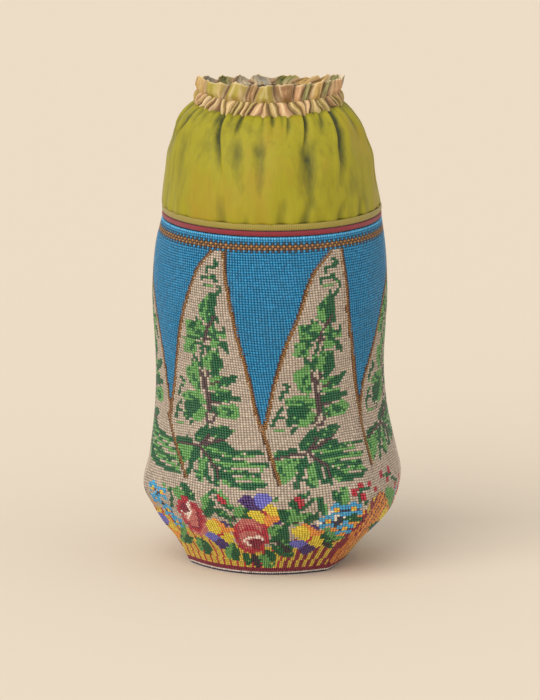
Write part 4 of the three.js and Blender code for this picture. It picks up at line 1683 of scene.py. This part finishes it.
class BAG_OT_base(bpy.types.Operator):
    """Flat base with a white and a dark blue round of beads on its rim"""

    bl_idname = "bag.base"
    bl_label = "Base"

    def execute(self, context):
        colours = context.scene.bag_colours
        bm = bmesh.new()
        bmesh.ops.create_circle(bm, cap_ends=True, segments=BASE_FACETS, radius=1.0)
        bmesh.ops.inset_region(bm, faces=bm.faces[:], thickness=BASE_RING)
        top = bmesh.ops.extrude_face_region(bm, geom=bm.faces[:], use_keep_orig=True)["geom"]
        raised = {part for part in top if isinstance(part, bmesh.types.BMVert)}
        for vertex in bm.verts:
            angle = np.array([math.atan2(vertex.co.x, -vertex.co.y)])
            share = min(1.0, math.hypot(vertex.co.x, vertex.co.y))
            level, reach = (BASE_TOP, BASE_UPPER_REACH) if vertex in raised else (0.0, BASE_UNDER_REACH)
            edge = body_point(angle, np.array([level]), reach)[0]
            middle = np.array([CENTRE_X + BODY_SECTIONS["shift"][0], CENTRE_Y, level])
            spot = middle + (edge - middle) * share
            vertex.co = Vector((spot[0], spot[1], level)) * MM
        bmesh.ops.recalc_face_normals(bm, faces=bm.faces)
        mesh = bpy.data.meshes.new("base_knitting")
        bm.to_mesh(mesh)
        bm.free()
        piece = link_mesh("base_knitting", mesh)
        finish_piece(piece, base_knitting("base_knitting", colours.maroon), "base_beads", "beaded_base")
        glass = bead_glass("rim_bead_glass")
        angle = (np.arange(RIM_BEADS) + 0.5) / RIM_BEADS * TURN
        for seed, (name, level, tone) in enumerate(RIMS, FIRST_RIM_SEED):
            beads = angle, np.full(RIM_BEADS, level), np.full(RIM_BEADS, TONE_NAMES.index(tone))
            make_beads(name, *beads, RIM_PITCH, RIM_BEADS, RIM_REACH, glass, seed)
        return {"FINISHED"}


def band_place(band):
    """Places of a straight band that swells a little between its edges."""

    def place(share, rise):
        height = band["bottom"] + (band["top"] - band["bottom"]) * rise
        swell = band["out"] + band["crown"] * (1 - (2 * rise - 1) ** 4)
        return band_point(share * TURN, height, swell), {}

    return place


class BAG_OT_bands(bpy.types.Operator):
    """Crimson binding and the flat hem above it"""

    bl_idname = "bag.bands"
    bl_label = "Binding and hem"

    def execute(self, context):
        cloth = context.scene.bag_cloth
        for band in BANDS:
            flat = (BAND_LENGTH, (band["top"] - band["bottom"]) * MM)
            piece = cloth_ring(band["piece"], BAND_GRID, band_place(band), flat)
            thicken(piece, BAND_THICKNESS * MM)
            colour = getattr(cloth, band["colour"])
            ribbed = ribbed_band(band["material"], colour, band["ribs"], band["dark"])
            finish_piece(piece, ribbed, band["slot"], band["node"])
        return {"FINISHED"}


def mouth_droop(angle):
    """How far the gathered mouth sinks at the front and the back."""
    return MOUTH_DROOP * np.cos(angle) ** 2


def silk_folds(angle, height):
    """How deep the silk lies in its folds with a low swell beside each, and their painted shade and light.
    """
    degrees = front_degrees(angle)
    depth = np.zeros_like(degrees)
    shade = np.zeros_like(degrees)
    for fold in SILK_FOLDS:
        deep, end = fold["heights"]
        share = np.clip((height - end) / (deep - end), 0, 1)
        middle = fold["angles"][1] + (fold["angles"][0] - fold["angles"][1]) * share
        across = (degrees - middle) / fold["width"]
        across = np.where(across * fold["sharp"] > 0, across / SHARP_SIDE, across)
        strength = np.sin(math.pi / 2 * share) ** 1.2
        if deep > end:
            strength *= np.exp(-((np.maximum(height - deep, 0) / FOLD_FADE) ** 2))
        crease = np.exp(-((across * FOLD_STEEPNESS) ** 2))
        swell = np.exp(-(((np.abs(across) - SWELL_PLACE) / SWELL_WIDTH) ** 2))
        depth += fold["depth"] * (crease - SWELL_DEPTH * swell) * strength
        shade += FOLD_SHADE * fold["shade"] * (crease - SWELL_SHADE * swell) * strength
    return depth, shade


def lobe_at(angle, edges):
    """Which lobe each angle lies in, and how far across it."""
    turned = np.mod(angle - edges[0], TURN) + edges[0]
    lobe = np.clip(np.searchsorted(edges, turned, side="right") - 1, 0, len(edges) - 2)
    return lobe, (turned - edges[lobe]) / np.diff(edges)[lobe]


def lobe_dome(across, peak):
    """How far a lobe swells across its width, from its creases to its fullest place."""
    side = np.where(across < peak, across / peak, (1 - across) / (1 - peak))
    return np.sin(math.pi / 2 * side) ** 0.8


def faded_tones(names):
    """The faded colours of the silk by name."""
    return np.array([list(getattr(bpy.context.scene.bag_faded, name)) for name in names])


class BAG_OT_silk(bpy.types.Operator):
    """Gathered silk top"""

    bl_idname = "bag.silk"
    bl_label = "Silk top"

    def execute(self, context):
        cloth = context.scene.bag_cloth
        gathers = cloth.neck_gathers

        def place(share, rise):
            angle = share * TURN
            height = SILK_BOTTOM + (NECK - SILK_BOTTOM) * rise
            below = NECK - height
            above = height - SILK_BOTTOM
            depth, dark = silk_folds(angle, height)
            phase = gathers * angle + 1.1 * np.sin(3 * angle + 0.6) + 0.8 * np.sin(7 * angle)
            reach = 4.0 + 5.0 * (0.5 + 0.5 * np.sin(5 * angle + 1.3)) * (0.5 + 0.5 * np.cos(11 * angle))
            pleat = np.abs(np.cos(phase / 2)) ** 0.7 - 0.6
            gather = PLEAT * pleat * np.exp(-below / reach)
            pucker = PUCKER * np.cos(31 * angle + 1.6 * np.sin(5 * angle)) * np.exp(-above / 6.0)
            pucker *= 0.6 + 0.4 * np.sin(4 * angle + 1.0)
            slack = SLACK * np.sin(9 * angle + 0.06 * below) * np.sin(math.pi * rise)
            tuck = HEM_TUCK * np.exp(-(above ** 2)) + NECK_TUCK * np.exp(-below / 1.2)
            out = gather - depth + pucker + slack - tuck + 0.4
            level = height - mouth_droop(angle) * rise ** 2 + 1.2 * rise ** 20 - 0.8 * (1 - rise) ** 20
            points = oval_point(SILK_SECTIONS, angle, height, out, level=level)
            # The fold attribute is painted shade: in the folds, in the hollows of the pleats under the
            # casing and in a line just above the hem, lighter where the puckers and the slack swell out and
            # darker where they sink in.
            shade = dark + (0.3 - pleat) * 0.8 * np.exp(-below / (reach * 0.8))
            shade += 0.1 * np.exp(-above / 1.5) - 0.3 * pucker - 0.15 * slack
            return points, {"fold": np.clip(shade, 0, 1)}

        piece = cloth_ring("gathered_silk", SILK_GRID, place, SILK_FLAT)
        thicken(piece, cloth.silk_thickness)
        finish_piece(piece, gathered_silk("gathered_silk", cloth), "chartreuse_silk", "silk_top")
        return {"FINISHED"}


def fold_lines(seed, lobe, across, rise, count):
    """Painted highlight and painted shade of fine folds along the lobes of gathered silk: how pale and how
    dark they make every point.
    """
    rng = np.random.default_rng(seed)
    marks = np.zeros((2, len(across)))
    for index in range(lobe.max() + 1):
        for line in range(count):
            middle = rng.uniform(0.08, 0.92) + rng.uniform(-0.25, 0.25) * (rise - 0.5)
            reach = np.exp(-(((rise - rng.uniform(0.1, 0.9)) / rng.uniform(0.4, 0.9)) ** 2))
            strength = rng.uniform(0.4, 1.0)
            mark = strength * np.exp(-(((across - middle) / rng.uniform(0.03, 0.08)) ** 2)) * reach
            marks[line % 2] = np.maximum(marks[line % 2], mark * (lobe == index))
    return marks


class BAG_OT_casing(bpy.types.Operator):
    """Ruched drawstring casing"""

    bl_idname = "bag.casing"
    bl_label = "Casing"

    def execute(self, context):
        cloth = context.scene.bag_cloth
        rng = np.random.default_rng(CASING_SEED)
        gathers = cloth.casing_gathers
        widths = rng.uniform(0.3, 2.0, gathers)
        edges = np.concatenate([[0.0], np.cumsum(widths)]) / widths.sum() * TURN
        swells = rng.uniform(0.6, 1.3, gathers)
        peaks = rng.uniform(0.3, 0.7, gathers)
        tones = faded_tones(rng.choice(CASING_TONES, gathers)) * CASING_TONE_SHARE
        tones += faded_tones(["salmon"]) * (1 - CASING_TONE_SHARE)

        def place(share, rise):
            angle = share * TURN
            height = CASING_BOTTOM + (CASING_TOP - CASING_BOTTOM) * rise
            slant = 0.2 * np.sin(angle) + 0.08 * np.sin(7 * angle) + 0.06 * np.sin(17 * angle + 1.0)
            bend = 0.012 * np.sin(13 * angle) * np.sin(TURN * rise)
            lobe, across = lobe_at(angle + slant * (rise - 0.5) + bend, edges)
            puff = lobe_dome(across, peaks[lobe])
            fine = np.cos(3 * math.pi * (across - 0.5)) * puff
            round_up = np.sin(math.pi * np.clip(0.06 + 0.88 * rise, 0, 1)) ** 0.7
            swell = (CASING_PUFF * puff + CASING_FINE * fine) * swells[lobe]
            out = -1.7 + 0.9 * round_up + swell * (0.4 + 0.6 * round_up) + 0.8 * (1 - rise) ** 4
            scallop = 0.9 * (puff * swells[lobe] - 0.5) * (rise - 0.5)
            level = height - mouth_droop(angle) + scallop - 0.5 * (1 - rise)
            points = oval_point(NECK_SECTIONS, angle, height - NECK, out, level=level)
            pale, dark = fold_lines(CASING_LINE_SEED, lobe, across, rise, CASING_LINES)
            # Painted shade in the crease colour where ridge is low: between the puffs, where they round
            # under at the top and the bottom, and on the dark fold lines. rim is painted highlight on each
            # puff's fullest place and on the pale fold lines.
            ridge = np.clip((1.5 * puff - 0.1) * (0.75 + 0.25 * round_up) - 0.7 * dark, 0, 1)
            rim = np.clip(0.7 * pale + 0.4 * np.exp(-(((across - peaks[lobe]) / 0.16) ** 2)), 0, 0.8)
            return points, {"ridge": ridge, "rim": rim, "silk_tone": tones[lobe]}

        piece = cloth_ring("ruched_casing", CASING_GRID, place, CASING_FLAT)
        thicken(piece, cloth.silk_thickness * CASING_LAYERS)
        silk = faded_silk("casing_silk", context.scene.bag_faded, 0.85)
        finish_piece(piece, silk, "faded_silk", "drawstring_casing")
        return {"FINISHED"}


class BAG_OT_ruffle(bpy.types.Operator):
    """Ruffled heading above the casing"""

    bl_idname = "bag.ruffle"
    bl_label = "Ruffle"

    def execute(self, context):
        lobes = {key: [lobe[key] for lobe in RUFFLE_LOBES] for key in RUFFLE_LOBES[0]}
        edges = np.radians([lobes["to"][-1] - 360, *lobes["to"]])
        swells, rises, peaks = (np.array(lobes[key]) for key in ("swell", "tall", "peak"))
        tones = faded_tones(lobes["tone"])
        salmon = faded_tones(["salmon"])

        def place(share, rise):
            angle = share * TURN
            lean = 0.07 * np.sin(5 * angle + 0.8) + 0.04 * np.sin(11 * angle)
            lobe, across = lobe_at(angle + lean * (rise - 0.5), edges)
            dome = lobe_dome(across, peaks[lobe])
            open_up = np.clip(rise / 0.35, 0, 1)
            cushion = open_up * open_up * (3 - 2 * open_up) * (1.0 - 0.3 * rise ** 3)
            waves = np.round(np.diff(edges)[lobe] / math.radians(CRINKLE))
            crinkle = np.cos(math.pi * (waves * across + 0.5 * rise)) * np.sin(math.pi * across)
            out = swells[lobe] * (dome - 0.42) * cushion + RUFFLE_CRINKLE * crinkle * (1 - 0.7 * rise)
            out += 0.5 * rise ** 2 - 0.9 * (1 - rise) ** 6
            out += RUFFLE_BACK_FLARE * rise * np.maximum(-np.cos(angle), 0)
            drop = RUFFLE_BACK_DROP * (1 - np.cos(angle)) / 2
            ragged = 0.4 * np.sin(9 * angle) + 0.45 * np.sin(23 * angle + 1.0) + 0.3 * crinkle
            edge = 1.6 * (dome - 0.7) + ragged + rises[lobe] * dome
            belly = 1.2 * (1 - rise) ** 6 + 1.3 * (dome - 0.5) * (1 - rise) ** 2
            level = RUFFLE_BOTTOM - mouth_droop(angle) + rise * (RUFFLE_HEIGHT - drop + edge) - belly
            flat_height = RUFFLE_BOTTOM - NECK + RUFFLE_HEIGHT * rise
            points = oval_point(NECK_SECTIONS, angle, flat_height, out, level=level)
            pale, dark = fold_lines(RUFFLE_LINE_SEED, lobe, across, rise, RUFFLE_LINES)
            # Painted shade in the crease colour where ridge is low: between the lobes, in the crinkles and
            # on the dark fold lines. rim is painted highlight on the pale fold lines and beside each lobe's
            # crease, and makes the top edge paler.
            ridge = np.clip(1.7 * dome - 0.05 + 0.3 * crinkle * (1 - rise) - 0.6 * dark, 0, 1)
            rim = 0.6 * pale + 0.7 * np.exp(-(((across - 0.93) / 0.04) ** 2))
            rim = np.clip(rim + 0.9 * np.exp(-(((1 - rise) / 0.05) ** 2)), 0, 0.9)
            middle = (np.sin(math.pi * across) ** 0.4)[:, None]
            tone = tones[lobe] * middle + salmon * (1 - middle)
            return points, {"ridge": ridge, "rim": rim, "silk_tone": tone}

        piece = cloth_ring("mouth_ruffle", RUFFLE_GRID, place, RUFFLE_FLAT)
        thicken(piece, context.scene.bag_cloth.silk_thickness, 1)
        faded = context.scene.bag_faded
        finish_piece(piece, faded_silk("ruffle_silk", faded, 0.8), "faded_silk", "ruffle")
        piece.data.materials.append(faded_silk("ruffle_inside", faded, 0.35))
        return {"FINISHED"}


PIECES = (
    BAG_OT_knitting,
    BAG_OT_beads,
    BAG_OT_base,
    BAG_OT_bands,
    BAG_OT_silk,
    BAG_OT_casing,
    BAG_OT_ruffle,
)


class BAG_PT_panel(bpy.types.Panel):
    """The bag's pieces and sizes"""

    bl_idname = "BAG_PT_panel"
    bl_label = "Beaded Bag"
    bl_space_type = "VIEW_3D"
    bl_region_type = "UI"
    bl_category = "Beaded Bag"

    def draw(self, context):
        for operator in (BAG_OT_stage, *PIECES):
            self.layout.operator(operator.bl_idname)
        for group, kind in SETTINGS.items():
            for name in kind.__annotations__:
                self.layout.prop(getattr(context.scene, group), name)


SETTINGS = {
    "bag_beads": BeadSizes,
    "bag_colours": BeadColours,
    "bag_faded": FadedColours,
    "bag_cloth": ClothSettings,
    "bag_stage": StageSettings,
}
CLASSES = (*SETTINGS.values(), BAG_OT_stage, *PIECES, BAG_PT_panel)


def register():
    for cls in CLASSES:
        bpy.utils.register_class(cls)
    for name, group in SETTINGS.items():
        setattr(bpy.types.Scene, name, PointerProperty(type=group))


def unregister():
    for name in SETTINGS:
        delattr(bpy.types.Scene, name)
    for cls in reversed(CLASSES):
        bpy.utils.unregister_class(cls)


def main():
    register()
    bpy.ops.bag.stage()
    bpy.ops.bag.knitting()
    bpy.ops.bag.beads()
    bpy.ops.bag.base()
    bpy.ops.bag.bands()
    bpy.ops.bag.silk()
    bpy.ops.bag.casing()
    bpy.ops.bag.ruffle()


if __name__ == "__main__":
    main()
